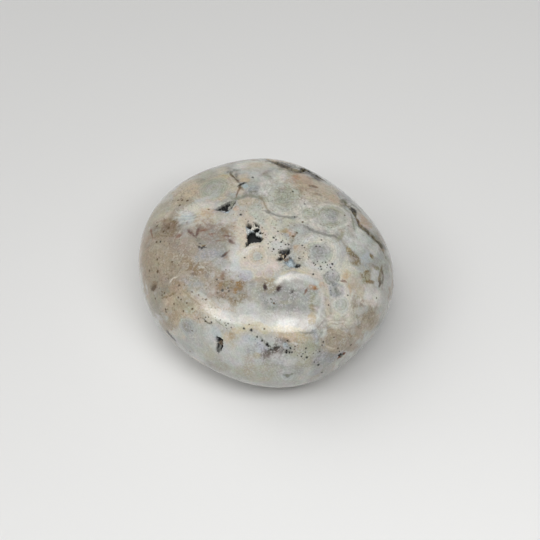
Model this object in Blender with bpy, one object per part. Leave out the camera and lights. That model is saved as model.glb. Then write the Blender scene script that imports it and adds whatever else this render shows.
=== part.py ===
"""Tumbled ocean jasper: one polished palm stone.

A flattened oval pebble, a little fuller above its widest level than a true
ellipsoid, with one worn flat on its shoulder, a small face to rest on, a few
angular vugs in its polish and an open seam along the back shoulder.
"""

import math

import bmesh
import bpy
import numpy as np

NODE_NAME = "ocean_jasper_stone"
METRES_PER_MM = 0.001

# Driving dimensions, in millimetres.
LENGTH = 66.0               # along X, before the outline's waves
WIDTH = 60.8                # along Y, before the outline's waves
RIM_HEIGHT = 15.0           # widest level above the resting face
DOME_HEIGHT = 17.0          # top of the stone above the widest level
BELLY_DEPTH = 15.25         # belly below the widest level, before it is worn flat at z = 0
CENTRE_X = 0.26             # moves the middle of the stone's box onto the Z axis
CENTRE_Y = 0.05

# Fullness: 2 is an ellipsoid, and more is boxier.
DOME_FULLNESS = 2.35
BELLY_FULLNESS = 2.4

# Waves of the plan outline: lobes, height as a share of the radius, heading in degrees.
OUTLINE_WAVES = (
    (3, 0.0039, -26.0),
    (4, 0.0134, 42.5),
    (5, 0.0103, -29.0),
)

# The worn flat on the back shoulder: heading and elevation in degrees,
# depth as a share of the radius, and spread in degrees.
WORN_FLAT_HEADING = 103.0
WORN_FLAT_ELEVATION = 30.4
WORN_FLAT_DEPTH = 0.022
WORN_FLAT_SPREAD = 16.0

# Vugs: a seat on the surface, corners of the mouth around it (east, north), and depth.
# All in millimetres. East and north are taken in the surface's tangent plane.
VUGS = {
    "long_wedge": {
        "seat": (-11.7, -1.3, 31.3),
        "mouth": ((-1.6, -2.8), (-1.7, -1.5), (-1.4, -0.4), (-1.1, 1.3), (-0.6, 2.5),
                  (0.2, 2.9), (0.6, 2.2), (1.1, 0.8), (1.7, -1.0), (1.4, -1.7), (0.0, -2.1)),
        "depth": 1.5,
    },
    "black_star": {
        "seat": (-0.7, -3.0, 32.0),
        "mouth": ((-3.1, 0.6), (-3.2, 1.7), (-2.3, 1.9), (-2.3, 2.9), (-0.9, 3.1), (0.8, 2.0),
                  (2.8, 0.4), (2.9, -0.3), (2.0, -1.3), (1.3, -2.3), (1.4, -3.4), (1.1, -3.6),
                  (0.5, -2.8), (0.1, -1.6), (-1.0, -1.2), (-2.3, -0.2)),
        "depth": 2.0,
    },
    "quartz_hollow": {
        "seat": (11.5, -1.9, 31.4),
        "mouth": ((-1.9, -0.6), (-1.6, 0.5), (-0.8, 1.0), (0.6, 0.9), (1.5, 0.9), (1.8, 0.2),
                  (1.2, -0.5), (0.2, -1.2), (-0.9, -1.2)),
        "depth": 0.8,
    },
    "brown_hollow": {
        "seat": (8.9, -1.3, 31.7),
        "mouth": ((-0.5, -1.0), (-0.9, -0.4), (-0.8, 0.3), (-0.3, 1.5), (0.3, 1.2), (0.6, -0.2),
                  (0.8, -0.8), (0.5, -1.5)),
        "depth": 0.9,
    },
    "front_wedge": {
        "seat": (11.9, -26.4, 21.8),
        "mouth": ((-1.5, 1.7), (-0.2, 1.8), (0.4, 1.8), (0.9, 0.0), (0.9, -2.0), (0.7, -2.5),
                  (0.1, -2.1), (-0.5, 0.0), (-1.2, 0.8)),
        "depth": 1.3,
    },
    "red_pit": {
        "seat": (32.4, -4.9, 16.9),
        "mouth": ((-1.5, -0.2), (-1.1, 0.4), (-0.2, 0.6), (0.9, 0.5), (1.6, 0.0), (0.1, -0.6),
                  (-0.9, -0.5)),
        "depth": 1.0,
    },
    "back_wedge": {
        "seat": (-28.0, 8.0, 19.0),
        "mouth": ((-1.4, 0.2), (-0.6, 1.1), (0.5, 1.3), (1.6, 0.3), (0.8, -0.9), (-0.4, -1.0)),
        "depth": 1.2,
    },
    "belly_hollow": {
        "seat": (9.0, 14.0, 1.8),
        "mouth": ((-2.1, -0.4), (-1.0, 0.9), (0.6, 1.2), (2.2, 0.5), (1.2, -0.8), (-0.6, -1.1)),
        "depth": 1.2,
    },
}
VUG_WALL = 0.45             # width of a vug's sloping wall

# The open seam over the back shoulder: x, y, z, half of its width, depth.
BACK_SEAM = (
    (-23.2, 17.0, 18.5, 0.5, 0.25),
    (-20.7, 19.1, 22.5, 0.9, 0.40),
    (-17.4, 19.7, 25.9, 1.1, 0.50),
    (-14.8, 19.6, 27.0, 1.4, 0.70),
    (-11.6, 20.4, 27.5, 1.2, 0.60),
    (-8.5, 23.1, 26.4, 1.6, 1.00),
    (-5.3, 24.2, 25.9, 1.5, 1.00),
    (-1.9, 25.5, 25.0, 1.1, 0.60),
    (1.8, 24.4, 25.8, 0.8, 0.35),
    (5.2, 22.2, 27.4, 0.8, 0.40),
    (8.4, 23.1, 26.4, 1.1, 0.80),
    (12.6, 20.7, 27.1, 1.0, 0.50),
    (16.6, 21.7, 25.2, 1.2, 0.60),
    (19.7, 22.8, 22.5, 1.0, 0.45),
    (22.6, 21.4, 17.6, 0.6, 0.25),
)

# The hairline slit low on the front flank, laid out as the seam is.
FRONT_SLIT = (
    (-7.1, -29.3, 11.2, 0.3, 0.25),
    (-4.4, -29.4, 10.9, 0.4, 0.35),
    (-2.4, -29.5, 10.6, 0.3, 0.20),
)

# Mesh: the whole stone first, then finer steps close to the vugs and the seam.
SPHERE_SUBDIVISIONS = 5
VUG_REACHES = (1.0, 0.6, 0.3)     # distance from a vug's outline that each finer step covers
GROOVE_REACHES = (0.8, 0.2)       # the same for a groove's edge, in fewer steps

STONE_COLOUR = (0.42, 0.36, 0.29, 1.0)
STONE_ROUGHNESS = 0.18
STONE_IOR = 1.54


def outline_radius(heading):
    """Radius of the plan outline at a heading, as a share of the plain oval."""
    radius = np.ones_like(heading)
    for lobes, height, start in OUTLINE_WAVES:
        radius += height * np.cos(lobes * (heading - math.radians(start)))
    return radius


def unit_vector(heading, elevation):
    """Unit vector from a heading and an elevation in degrees."""
    a = math.radians(heading)
    e = math.radians(elevation)
    return np.array((math.cos(a) * math.cos(e), math.sin(a) * math.cos(e), math.sin(e)))


def stone_surface(directions):
    """Points of the polished form, in millimetres, for unit vectors from its middle."""
    across = np.hypot(directions[:, 0], directions[:, 1])
    outline = outline_radius(np.arctan2(directions[:, 1], directions[:, 0]))
    above = directions[:, 2] > 0.0
    fullness = np.where(above, DOME_FULLNESS, BELLY_FULLNESS)
    height = np.where(above, DOME_HEIGHT, BELLY_DEPTH)
    reach = (across**fullness + np.abs(directions[:, 2])**fullness)**(-1.0 / fullness)

    flat = unit_vector(WORN_FLAT_HEADING, WORN_FLAT_ELEVATION)
    from_flat = np.arccos(np.clip(directions @ flat, -1.0, 1.0))
    reach *= 1.0 - WORN_FLAT_DEPTH * np.exp(-(from_flat / math.radians(WORN_FLAT_SPREAD))**2)

    x = CENTRE_X + LENGTH / 2 * directions[:, 0] * outline * reach
    y = CENTRE_Y + WIDTH / 2 * directions[:, 1] * outline * reach
    z = RIM_HEIGHT + height * directions[:, 2] * reach
    return np.stack((x, y, np.maximum(z, 0.0)), axis=1)


def direction_to(points):
    """Unit vectors whose surface points lie under the given points near the surface."""
    points = np.atleast_2d(points)
    x = (points[:, 0] - CENTRE_X) / (LENGTH / 2)
    y = (points[:, 1] - CENTRE_Y) / (WIDTH / 2)
    z = points[:, 2] - RIM_HEIGHT
    z = z / np.where(z > 0.0, DOME_HEIGHT, BELLY_DEPTH)
    outline = outline_radius(np.arctan2(y, x))
    directions = np.stack((x / outline, y / outline, z), axis=1)
    return directions / np.linalg.norm(directions, axis=1, keepdims=True)


def tangent_frame(seat):
    """The surface point at a seat, with its east, north and outward directions."""
    step = 0.01
    direction = direction_to(seat)[0]
    side = np.cross((0.0, 0.0, 1.0), direction)
    side /= np.linalg.norm(side)
    rise = np.cross(direction, side)
    around = np.array((direction, direction + step * side, direction + step * rise))
    around /= np.linalg.norm(around, axis=1, keepdims=True)
    point, beside, above = stone_surface(around)
    outward = np.cross(beside - point, above - point)
    outward /= np.linalg.norm(outward)
    east = np.array((1.0, 0.0, 0.0)) - outward * outward[0]
    if np.linalg.norm(east) < 0.3:      # on the stone's two ends, east runs along Y
        east = np.array((0.0, 1.0, 0.0)) - outward * outward[1]
    east /= np.linalg.norm(east)
    return point, east, np.cross(outward, east), outward


def distance_inside(points, corners):
    """Distance of 2-D points to a closed outline, positive inside it."""
    nearest = np.full(len(points), np.inf)
    inside = np.zeros(len(points), dtype=bool)
    for start, end in zip(corners, np.roll(corners, -1, axis=0)):
        edge = end - start
        offset = points - start
        along = np.clip(offset @ edge / (edge @ edge), 0.0, 1.0)
        nearest = np.minimum(nearest, np.linalg.norm(offset - along[:, None] * edge, axis=1))
        crosses = (start[1] > points[:, 1]) != (end[1] > points[:, 1])
        rise = edge[1] if edge[1] else 1.0
        crossing_x = start[0] + edge[0] * (points[:, 1] - start[1]) / rise
        inside ^= crosses & (points[:, 0] < crossing_x)
    return np.where(inside, nearest, -nearest)


def smooth_step(values):
    """Smooth ramp from 0 to 1."""
    values = np.clip(values, 0.0, 1.0)
    return values * values * (3.0 - 2.0 * values)


def vug_depth(points, vug):
    """Depth of one vug at each surface point, and distance from its mouth's outline."""
    seat, east, north, outward = tangent_frame(vug["seat"])
    offset = points - seat
    flat = np.stack((offset @ east, offset @ north), axis=1)
    inside = distance_inside(flat, np.array(vug["mouth"]))
    same_side = np.abs(offset @ outward) < 4.0
    depth = vug["depth"] * smooth_step(inside / VUG_WALL)
    return np.where(same_side, depth, 0.0), np.where(same_side, np.abs(inside), np.inf)


def groove_depth(points, route):
    """Depth of a groove at each surface point, and each point's distance from its edge."""
    route = np.array(route)
    stations = stone_surface(direction_to(route[:, :3]))
    depth = np.zeros(len(points))
    nearest = np.full(len(points), np.inf)
    for i in range(len(route) - 1):
        run = stations[i + 1] - stations[i]
        offset = points - stations[i]
        along = np.clip(offset @ run / (run @ run), 0.0, 1.0)
        distance = np.linalg.norm(offset - along[:, None] * run, axis=1)
        half_width = route[i, 3] + along * (route[i + 1, 3] - route[i, 3])
        full_depth = route[i, 4] + along * (route[i + 1, 4] - route[i, 4])
        depth = np.maximum(depth, full_depth * smooth_step(1.0 - distance / half_width))
        nearest = np.minimum(nearest, distance - half_width)
    return depth, nearest


def all_vugs(points):
    """Depth of the vugs at each point, and distance from the nearest mouth."""
    measured = [vug_depth(points, vug) for vug in VUGS.values()]
    return np.max([each[0] for each in measured], axis=0), np.min([each[1] for each in measured], axis=0)


def all_grooves(points):
    """Depth of the grooves at each point, and distance from the nearest edge."""
    measured = [groove_depth(points, route) for route in (BACK_SEAM, FRONT_SLIT)]
    return np.max([each[0] for each in measured], axis=0), np.min([each[1] for each in measured], axis=0)


def vertex_directions(mesh):
    """Unit vectors from the middle to every vertex of the unit sphere's mesh."""
    directions = np.array([vert.co for vert in mesh.verts])
    return directions / np.linalg.norm(directions, axis=1, keepdims=True)


def refine(mesh, measure, reach):
    """Split every face whose middle is within reach of the hollows that measure knows."""
    middles = np.array([face.calc_center_median() for face in mesh.faces])
    middles /= np.linalg.norm(middles, axis=1, keepdims=True)
    _, nearest = measure(stone_surface(middles))
    edges = set()
    for face, distance in zip(mesh.faces, nearest):
        if distance < reach:
            edges.update(face.edges)
    bmesh.ops.subdivide_edges(mesh, edges=list(edges), cuts=1, use_grid_fill=True)
    bmesh.ops.triangulate(mesh, faces=mesh.faces[:])


def stone_mesh():
    """The stone as one closed mesh, in metres."""
    mesh = bmesh.new()
    bmesh.ops.create_icosphere(mesh, subdivisions=SPHERE_SUBDIVISIONS, radius=1.0)
    for reach in GROOVE_REACHES:
        refine(mesh, all_grooves, reach)
    for reach in VUG_REACHES:
        refine(mesh, all_vugs, reach)

    points = stone_surface(vertex_directions(mesh))
    for vert, point in zip(mesh.verts, points):
        vert.co = point
    mesh.normal_update()
    normals = np.array([vert.normal for vert in mesh.verts])
    depth = np.maximum(all_vugs(points)[0], all_grooves(points)[0])
    points = (points - normals * depth[:, None]) * METRES_PER_MM
    for vert, point in zip(mesh.verts, points):
        vert.co = point
    bmesh.ops.recalc_face_normals(mesh, faces=mesh.faces[:])

    data = bpy.data.meshes.new(NODE_NAME)
    mesh.to_mesh(data)
    mesh.free()
    data.shade_smooth()
    return data


def stone_material():
    """Polished stone in its average colour."""
    material = bpy.data.materials.new("polished_jasper")
    material.use_nodes = True
    shader = material.node_tree.nodes["Principled BSDF"]
    shader.inputs["Base Color"].default_value = STONE_COLOUR
    shader.inputs["Roughness"].default_value = STONE_ROUGHNESS
    shader.inputs["Metallic"].default_value = 0.0
    shader.inputs["IOR"].default_value = STONE_IOR
    return material


def main():
    for old in list(bpy.data.objects):
        bpy.data.objects.remove(old, do_unlink=True)
    stone = bpy.data.objects.new(NODE_NAME, stone_mesh())
    stone.data.materials.append(stone_material())
    bpy.context.collection.objects.link(stone)


main()
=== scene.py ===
"""Looks of the tumbled ocean jasper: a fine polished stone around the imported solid."""
import math

import bmesh
import bpy
import numpy as np
from mathutils import Matrix, Vector
from mathutils.bvhtree import BVHTree


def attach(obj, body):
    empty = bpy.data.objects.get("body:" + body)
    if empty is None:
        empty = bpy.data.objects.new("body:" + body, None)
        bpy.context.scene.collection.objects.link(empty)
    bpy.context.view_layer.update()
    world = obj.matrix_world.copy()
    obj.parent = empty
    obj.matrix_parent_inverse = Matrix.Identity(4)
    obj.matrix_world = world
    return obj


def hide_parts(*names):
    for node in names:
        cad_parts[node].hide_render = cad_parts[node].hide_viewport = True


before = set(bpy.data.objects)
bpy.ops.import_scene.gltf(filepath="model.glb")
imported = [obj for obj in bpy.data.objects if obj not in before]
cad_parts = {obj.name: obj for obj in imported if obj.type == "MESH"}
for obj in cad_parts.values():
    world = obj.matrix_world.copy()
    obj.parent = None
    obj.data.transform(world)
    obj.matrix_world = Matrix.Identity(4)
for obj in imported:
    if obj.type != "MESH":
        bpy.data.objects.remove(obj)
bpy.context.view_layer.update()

NODE_NAME = "ocean_jasper_stone"
METRES_PER_MM = 0.001

# ---------------------------------------------------------------- form
# In millimetres and degrees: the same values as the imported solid's.
LENGTH = 66.0
WIDTH = 60.8
RIM_HEIGHT = 15.0
DOME_HEIGHT = 17.0
BELLY_DEPTH = 15.25
CENTRE_X = 0.26
CENTRE_Y = 0.05
DOME_FULLNESS = 2.35
BELLY_FULLNESS = 2.4
OUTLINE_WAVES = ((3, 0.0039, -26.0), (4, 0.0134, 42.5), (5, 0.0103, -29.0))
WORN_FLAT_HEADING = 103.0
WORN_FLAT_ELEVATION = 30.4
WORN_FLAT_DEPTH = 0.022
WORN_FLAT_SPREAD = 16.0

# Vugs: a seat on the surface, corners of the mouth around it (east, north), depth of the pits
# in its floor, depth of the floor, and the height and width of the floor's crystals.
VUGS = {
    "long_wedge": {
        "seat": (-11.7, -1.3, 31.3),
        "mouth": ((-1.6, -2.8), (-1.7, -1.5), (-1.4, -0.4), (-1.1, 1.3), (-0.6, 2.5),
                  (0.2, 2.9), (0.6, 2.2), (1.1, 0.8), (1.7, -1.0), (1.4, -1.7), (0.0, -2.1)),
        "depth": 1.5, "floor": 0.45, "crystals": (0.3, 0.35),
    },
    "black_star": {
        "seat": (-0.7, -3.0, 32.0),
        "mouth": ((-3.1, 0.6), (-3.2, 1.7), (-2.3, 1.9), (-2.3, 2.9), (-0.9, 3.1), (0.8, 2.0),
                  (2.8, 0.4), (2.9, -0.3), (2.0, -1.3), (1.3, -2.3), (1.4, -3.4), (1.1, -3.6),
                  (0.5, -2.8), (0.1, -1.6), (-1.0, -1.2), (-2.3, -0.2)),
        "depth": 1.8, "floor": 0.5, "crystals": (0.35, 0.4),
    },
    "quartz_hollow": {
        "seat": (11.5, -1.9, 31.4),
        "mouth": ((-1.9, -0.6), (-1.6, 0.5), (-0.8, 1.0), (0.6, 0.9), (1.5, 0.9), (1.8, 0.2),
                  (1.2, -0.5), (0.2, -1.2), (-0.9, -1.2)),
        "depth": 0.8, "floor": 0.4, "crystals": (0.3, 0.4),
    },
    "brown_hollow": {
        "seat": (8.9, -1.3, 31.7),
        "mouth": ((-0.5, -1.0), (-0.9, -0.4), (-0.8, 0.3), (-0.3, 1.5), (0.3, 1.2), (0.6, -0.2),
                  (0.8, -0.8), (0.5, -1.5)),
        "depth": 0.9, "floor": 0.35, "crystals": (0.25, 0.3),
    },
    "front_wedge": {
        "seat": (11.9, -26.4, 21.8),
        "mouth": ((-1.5, 1.7), (-0.2, 1.8), (0.4, 1.8), (0.9, 0.0), (0.9, -2.0), (0.7, -2.5),
                  (0.1, -2.1), (-0.5, 0.0), (-1.2, 0.8)),
        "depth": 1.3, "floor": 0.6, "crystals": (0.35, 0.35),
    },
    "red_pit": {
        "seat": (32.4, -4.9, 16.9),
        "mouth": ((-1.5, -0.2), (-1.1, 0.4), (-0.2, 0.6), (0.9, 0.5), (1.6, 0.0), (0.1, -0.6),
                  (-0.9, -0.5)),
        "depth": 1.0, "floor": 0.4, "crystals": (0.2, 0.3),
    },
    "back_wedge": {
        "seat": (-28.0, 8.0, 19.0),
        "mouth": ((-1.4, 0.2), (-0.6, 1.1), (0.5, 1.3), (1.6, 0.3), (0.8, -0.9), (-0.4, -1.0)),
        "depth": 1.2, "floor": 1.0, "crystals": (0.5, 0.45),
    },
    "belly_hollow": {
        "seat": (9.0, 14.0, 1.8),
        "mouth": ((-2.1, -0.4), (-1.0, 0.9), (0.6, 1.2), (2.2, 0.5), (1.2, -0.8), (-0.6, -1.1)),
        "depth": 1.2, "floor": 1.0, "crystals": (0.5, 0.5),
    },
}
MOUTH_REACH = 4.0           # a vug cuts no surface farther than this above or below its seat
VUG_WALL = 0.35             # width of a vug's sloping wall
VUG_RAGGEDNESS = 0.18
VUG_RAGGED_SCALE = 2.0
PIT_REACH = 6.0             # a pit lies within this of its vug's seat
PIT_WALL = 0.25
PIT_RAGGEDNESS = 0.15
PIT_RAGGED_SCALE = 3.0
CRYSTAL_SPACING = 0.5
CRYSTAL_SIZES = (0.6, 1.1)  # smallest and largest, as shares of the floor's usual crystal
CRYSTAL_LEAN = 0.35

# The open seam over the back shoulder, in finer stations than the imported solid's, and the slit
# low on the front flank: x, y, z, half of the width, depth.
BACK_SEAM = (
    (-23.2, 17.0, 18.5, 0.5, 0.25),
    (-20.7, 19.1, 22.5, 0.7, 0.30),
    (-17.4, 19.7, 25.9, 0.8, 0.40),
    (-14.8, 19.6, 27.0, 0.9, 0.50),
    (-11.5, 20.2, 27.6, 0.9, 0.50),
    (-9.4, 21.7, 27.1, 0.8, 0.35),
    (-10.2, 24.3, 24.9, 1.1, 0.90),
    (-8.2, 24.9, 24.8, 1.2, 1.00),
    (-5.8, 25.0, 25.0, 0.9, 0.60),
    (-3.7, 25.5, 24.8, 0.5, 0.25),
    (-1.0, 25.2, 25.3, 0.4, 0.12),
    (3.1, 23.5, 26.6, 0.4, 0.15),
    (5.4, 23.0, 26.8, 0.6, 0.30),
    (8.3, 22.9, 26.6, 0.8, 0.80),
    (11.1, 21.4, 27.0, 0.6, 0.35),
    (13.4, 20.5, 27.1, 0.6, 0.35),
    (16.0, 21.1, 25.9, 0.9, 0.45),
    (18.7, 21.7, 24.2, 0.8, 0.40),
    (22.2, 20.7, 22.7, 0.6, 0.25),
)
FRONT_SLIT = (
    (-7.1, -29.3, 11.2, 0.3, 0.25),
    (-4.4, -29.4, 10.9, 0.4, 0.35),
    (-2.4, -29.5, 10.6, 0.3, 0.20),
)
SEAM_LIP = 0.12             # depth at which the seam's stone is fully broken
SEAM_ROUGHNESS = 0.22       # height of the broken stone inside the seam

# Rough stone: each wave's length in millimetres, its share of the height, and the heading and
# elevation of its axis and of the wave that bends it.
BROKEN_WAVES = (
    (1.9, 0.5, (40.0, 20.0), (160.0, -15.0)),
    (0.83, 0.3, (107.0, -13.0), (119.0, 13.0)),
    (0.41, 0.2, (174.0, -46.0), (78.0, 41.0)),
)
BEND_ANGLE = 2.0            # radians
BEND_LENGTH = 1.7           # as a share of the wave that it bends

# Mesh: the whole stone first, then finer steps in the grooves and the vugs.
SPHERE_SUBDIVISIONS = 7
GROOVE_REACHES = (0.5, 0.1)
VUG_REACHES = (0.5, 0.3, 0.15)

# East and north on the surface: the step that finds the slope, and the shortest share of X in
# the surface for east to follow it. On the two ends east runs along Y instead.
TANGENT_STEP = 0.01
SHORTEST_EAST = 0.3

# ---------------------------------------------------------------- camera, light and floor
# In degrees and millimetres. The aim lies right of and above the middle of the oval, as seen.
VIEW_AZIMUTH = 46.0
VIEW_ELEVATION = 55.0
VIEW_DISTANCE = 450.0
FRAME_PIXELS = 540
MM_PER_PIXEL = 0.2529       # at the aim
AIM_RIGHT = 1.28
AIM_UP = 1.17
AIM_HEIGHT = 13.0
SENSOR_MM = 36.0
NEAR_CLIP = 0.01            # metres
STEEPEST_SLANT = 0.35       # a marking is stretched down a slope by no more than 1 over this
LEAST_REACH = 1.0           # of a marking into the stone

# Ceiling panels: edges as slopes from the origin, in metres aside or toward the viewer per
# metre up, then radiance and fades. A fade is an axis, the edge it starts from (0 or 1) and
# the share of the panel it takes.
PANEL_HEIGHT = 0.36         # metres above the floor
CEILING_PANELS = {
    "panel_left": {
        "left": -1.04, "right": -0.30, "far": 0.16, "near": 0.68, "radiance": 6.5,
        "fades": (("X", 0, 0.08), ("X", 1, 0.6), ("Y", 1, 0.8), ("Y", 0, 0.07)),
    },
    "panel_right": {
        "left": -0.36, "right": 0.92, "far": 0.14, "near": 0.72, "radiance": 7.1,
        "fades": (("X", 0, 0.4), ("X", 1, 0.32), ("Y", 1, 0.55), ("Y", 0, 0.08)),
    },
}

# Glows of the room: turn from the left toward the back, elevation, strength.
ROOM_GLOWS = ((6.0, 62.0, 1.42), (6.0, 32.0, 0.3), (62.0, 50.0, 0.34))
GLOW_NARROWNESS = 5.0
HAZE = 0.42                 # strength of the light at the horizon
HAZE_NARROWNESS = 7.0
ROOM_COLOUR = (1.0, 0.995, 0.98, 1.0)

FLOOR_HALF = 1.5            # metres
FLOOR_COLOUR = (0.765, 0.765, 0.76, 1.0)
FLOOR_ROUGHNESS = 0.6

# ---------------------------------------------------------------- paint
# Noise that bends, frays, thins and tints the markings: size of its lumps in millimetres,
# detail and roughness.
BROAD_NOISE = (7.0, 2.0, 0.5)
CLOSE_NOISE = (1.8, 3.0, 0.5)
FINE_NOISE = (0.5, 2.0, 0.5)
RAGGED_NOISE = (2.2, 5.0, 0.6)
CLOUD_NOISE = (11.0, 2.0, 0.5)
THREAD_NOISE = (2.6, 3.0, 0.6)
FLECK_NOISE = (0.55, 3.0, 0.6)
CLUMP_NOISE = (2.5, 2.0, 0.5)
BAND_NOISE = (12.0, 1.0, 0.5)
LUMP_NOISE = (3.2, 5.0, 0.62)
HUE_NOISE = (1.8, 3.0, 0.6)
GRAIN_NOISE = (0.4, 2.0, 0.6)
SEAM_NOISE = (1.1, 3.0, 0.7)
FACET_NOISE = (0.35, 2.0, 0.6)

# How far the noise moves a marking, in millimetres, and frays its edge, as a share of its size.
BROAD_SHIFT = 1.3
CLOSE_SHIFT = 0.6
CALM_SHIFT = 0.3
FINE_SHIFT = 0.2
PATCH_RAGGEDNESS = 2.4
ORB_RAGGEDNESS = 0.16
SMALL_PATCH = 8.5           # pixels: larger patches are bent by the broad noise too

# Textures that thin a patch: where the pattern starts and ends, on the scale of its noise.
THREAD_EDGE = (0.05, 0.16)
FLECK_EDGE = (0.68, 0.8)
FLECK_CLUMPING = 0.35
DOT_EDGE = (-0.02, 0.05)
DOT_SPACING = 0.75
DOT_RADII = (0.02, 0.28)    # the smallest, and what the largest adds, as shares of the spacing
DOT_SHUFFLE = 7.0           # turns a cell's random colour into a second random value
BAND_EDGE = (0.1, 0.9)
BANDS = 22.0                # waves over the whole range of a noise

# Orbs: where the last ring fades, as shares of the radius, and the fine ripples in them.
ORB_EDGE = (0.72, 1.08)
ORB_STRENGTH = 0.95
RIPPLE_PIXELS = 2.7         # length of a ripple
RIPPLE_EDGE = (1.0, 1.5)
RIPPLE_HEIGHT = 0.07

# Veins and specks: edges as shares of the half width.
FAR = 99.0                  # beyond every vein and speck
STROKE_OVERLAP = 0.62       # half length of a stroke, as a share of its run
VEIN_EDGE = (0.3, 1.8)
SPECK_EDGE = (0.4, 1.6)
SPECK_STRENGTH = 0.95

# The side that no marking names: clouds, and ringed orbs in scattered cells.
CLOUD_COLOURS = (
    (0.3, "sand"), (0.4, "taupe"), (0.47, "stone"), (0.52, "mist"), (0.58, "fawn"), (0.66, "cream"),
)
HIDDEN_RINGS = (
    (0.0, "sage"), (0.4, "stone"), (0.5, "pewter"), (0.62, "celadon"), (0.8, "mist"), (1.0, "blush"),
)
HIDDEN_SPACING = 9.0
HIDDEN_RADII = (0.2, 0.28)  # the smallest, and what the largest adds, as shares of the spacing
HIDDEN_SHUFFLE = 5.0

# Brightness and hue over the whole stone, with painted light: paler toward +Y and toward the rim, darker on
# the crown.
LUMP_HEIGHT = 0.42
GRAIN_HEIGHT = 0.58
BAND_HEIGHT = 0.03
HUE_SHIFT = 0.23
# painted light: the stone is painted paler toward +Y, and paler at the rim than on the crown
PAINTED_LIGHT_PER_MM = 0.003        # toward +Y
CROWN_Z = 31.5
RIM_Z = 18.0
CROWN_PAINTED_SHADE = 0.955
RIM_PAINTED_LIGHT = 1.035

# Inside the hollows: the depths where the seam's colour starts and is full, the values of its
# noise between which soot turns to olive, the painted light and shade of the crystals' facets,
# and the shares of a pit's wall between which painted shade turns it black.
SEAM_DEPTHS = (0.02, 0.35)
SEAM_STRENGTH = 0.8
SEAM_BLEND = (0.4, 0.62)
FACET_PAINTED_LIGHT = (0.2, 1.6)   # the darkest, and what the palest adds
PIT_PAINTED_SHADE = (0.1, 0.6)
POLISHED_ROUGHNESS = 0.12
BROKEN_ROUGHNESS = 0.4      # added in the hollows
REFRACTIVE_INDEX = 1.54

# ---------------------------------------------------------------- colours and markings
# Base colours, 0 to 255 as a screen shows them.
COLOURS = {
    "night": (10, 11, 12), "ink": (22, 26, 28), "soot": (40, 37, 32), "garnet": (44, 18, 14),
    "oxblood": (78, 38, 30), "loam": (66, 62, 44), "bark": (84, 66, 44), "rust": (118, 80, 60),
    "bronze": (119, 98, 63), "ochre": (142, 102, 46), "honey": (132, 99, 42), "sienna": (172, 130, 92),
    "umber": (123, 104, 82), "plum": (106, 97, 91), "olive": (123, 113, 80), "moss": (119, 121, 104),
    "slate": (116, 117, 112), "mocha": (133, 115, 95), "camel": (141, 123, 96), "dusk": (142, 129, 117),
    "smoke": (139, 137, 130), "khaki": (143, 133, 111), "drab": (147, 142, 127), "steel": (147, 150, 153),
    "lagoon": (143, 158, 160), "taupe": (149, 139, 123), "pewter": (150, 150, 146),
    "hazel": (153, 137, 116), "lichen": (157, 154, 133), "sand": (160, 144, 121),
    "mustard": (168, 149, 106), "sage": (161, 163, 149), "ash": (164, 166, 163), "wheat": (168, 157, 138),
    "lilac": (169, 169, 174), "reed": (172, 171, 154), "stone": (174, 174, 168), "rose": (183, 170, 163),
    "frost": (180, 187, 190), "celadon": (184, 186, 175), "fawn": (186, 175, 156), "mist": (189, 191, 188),
    "apricot": (192, 167, 143), "peach": (196, 179, 154), "butter": (196, 186, 159),
    "cream": (200, 189, 171), "cloud": (201, 203, 199), "blush": (204, 193, 184), "ivory": (206, 202, 189),
    "pearl": (213, 211, 204), "snow": (229, 227, 221), "quartz": (112, 124, 130), "ice": (172, 186, 193),
}

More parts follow.
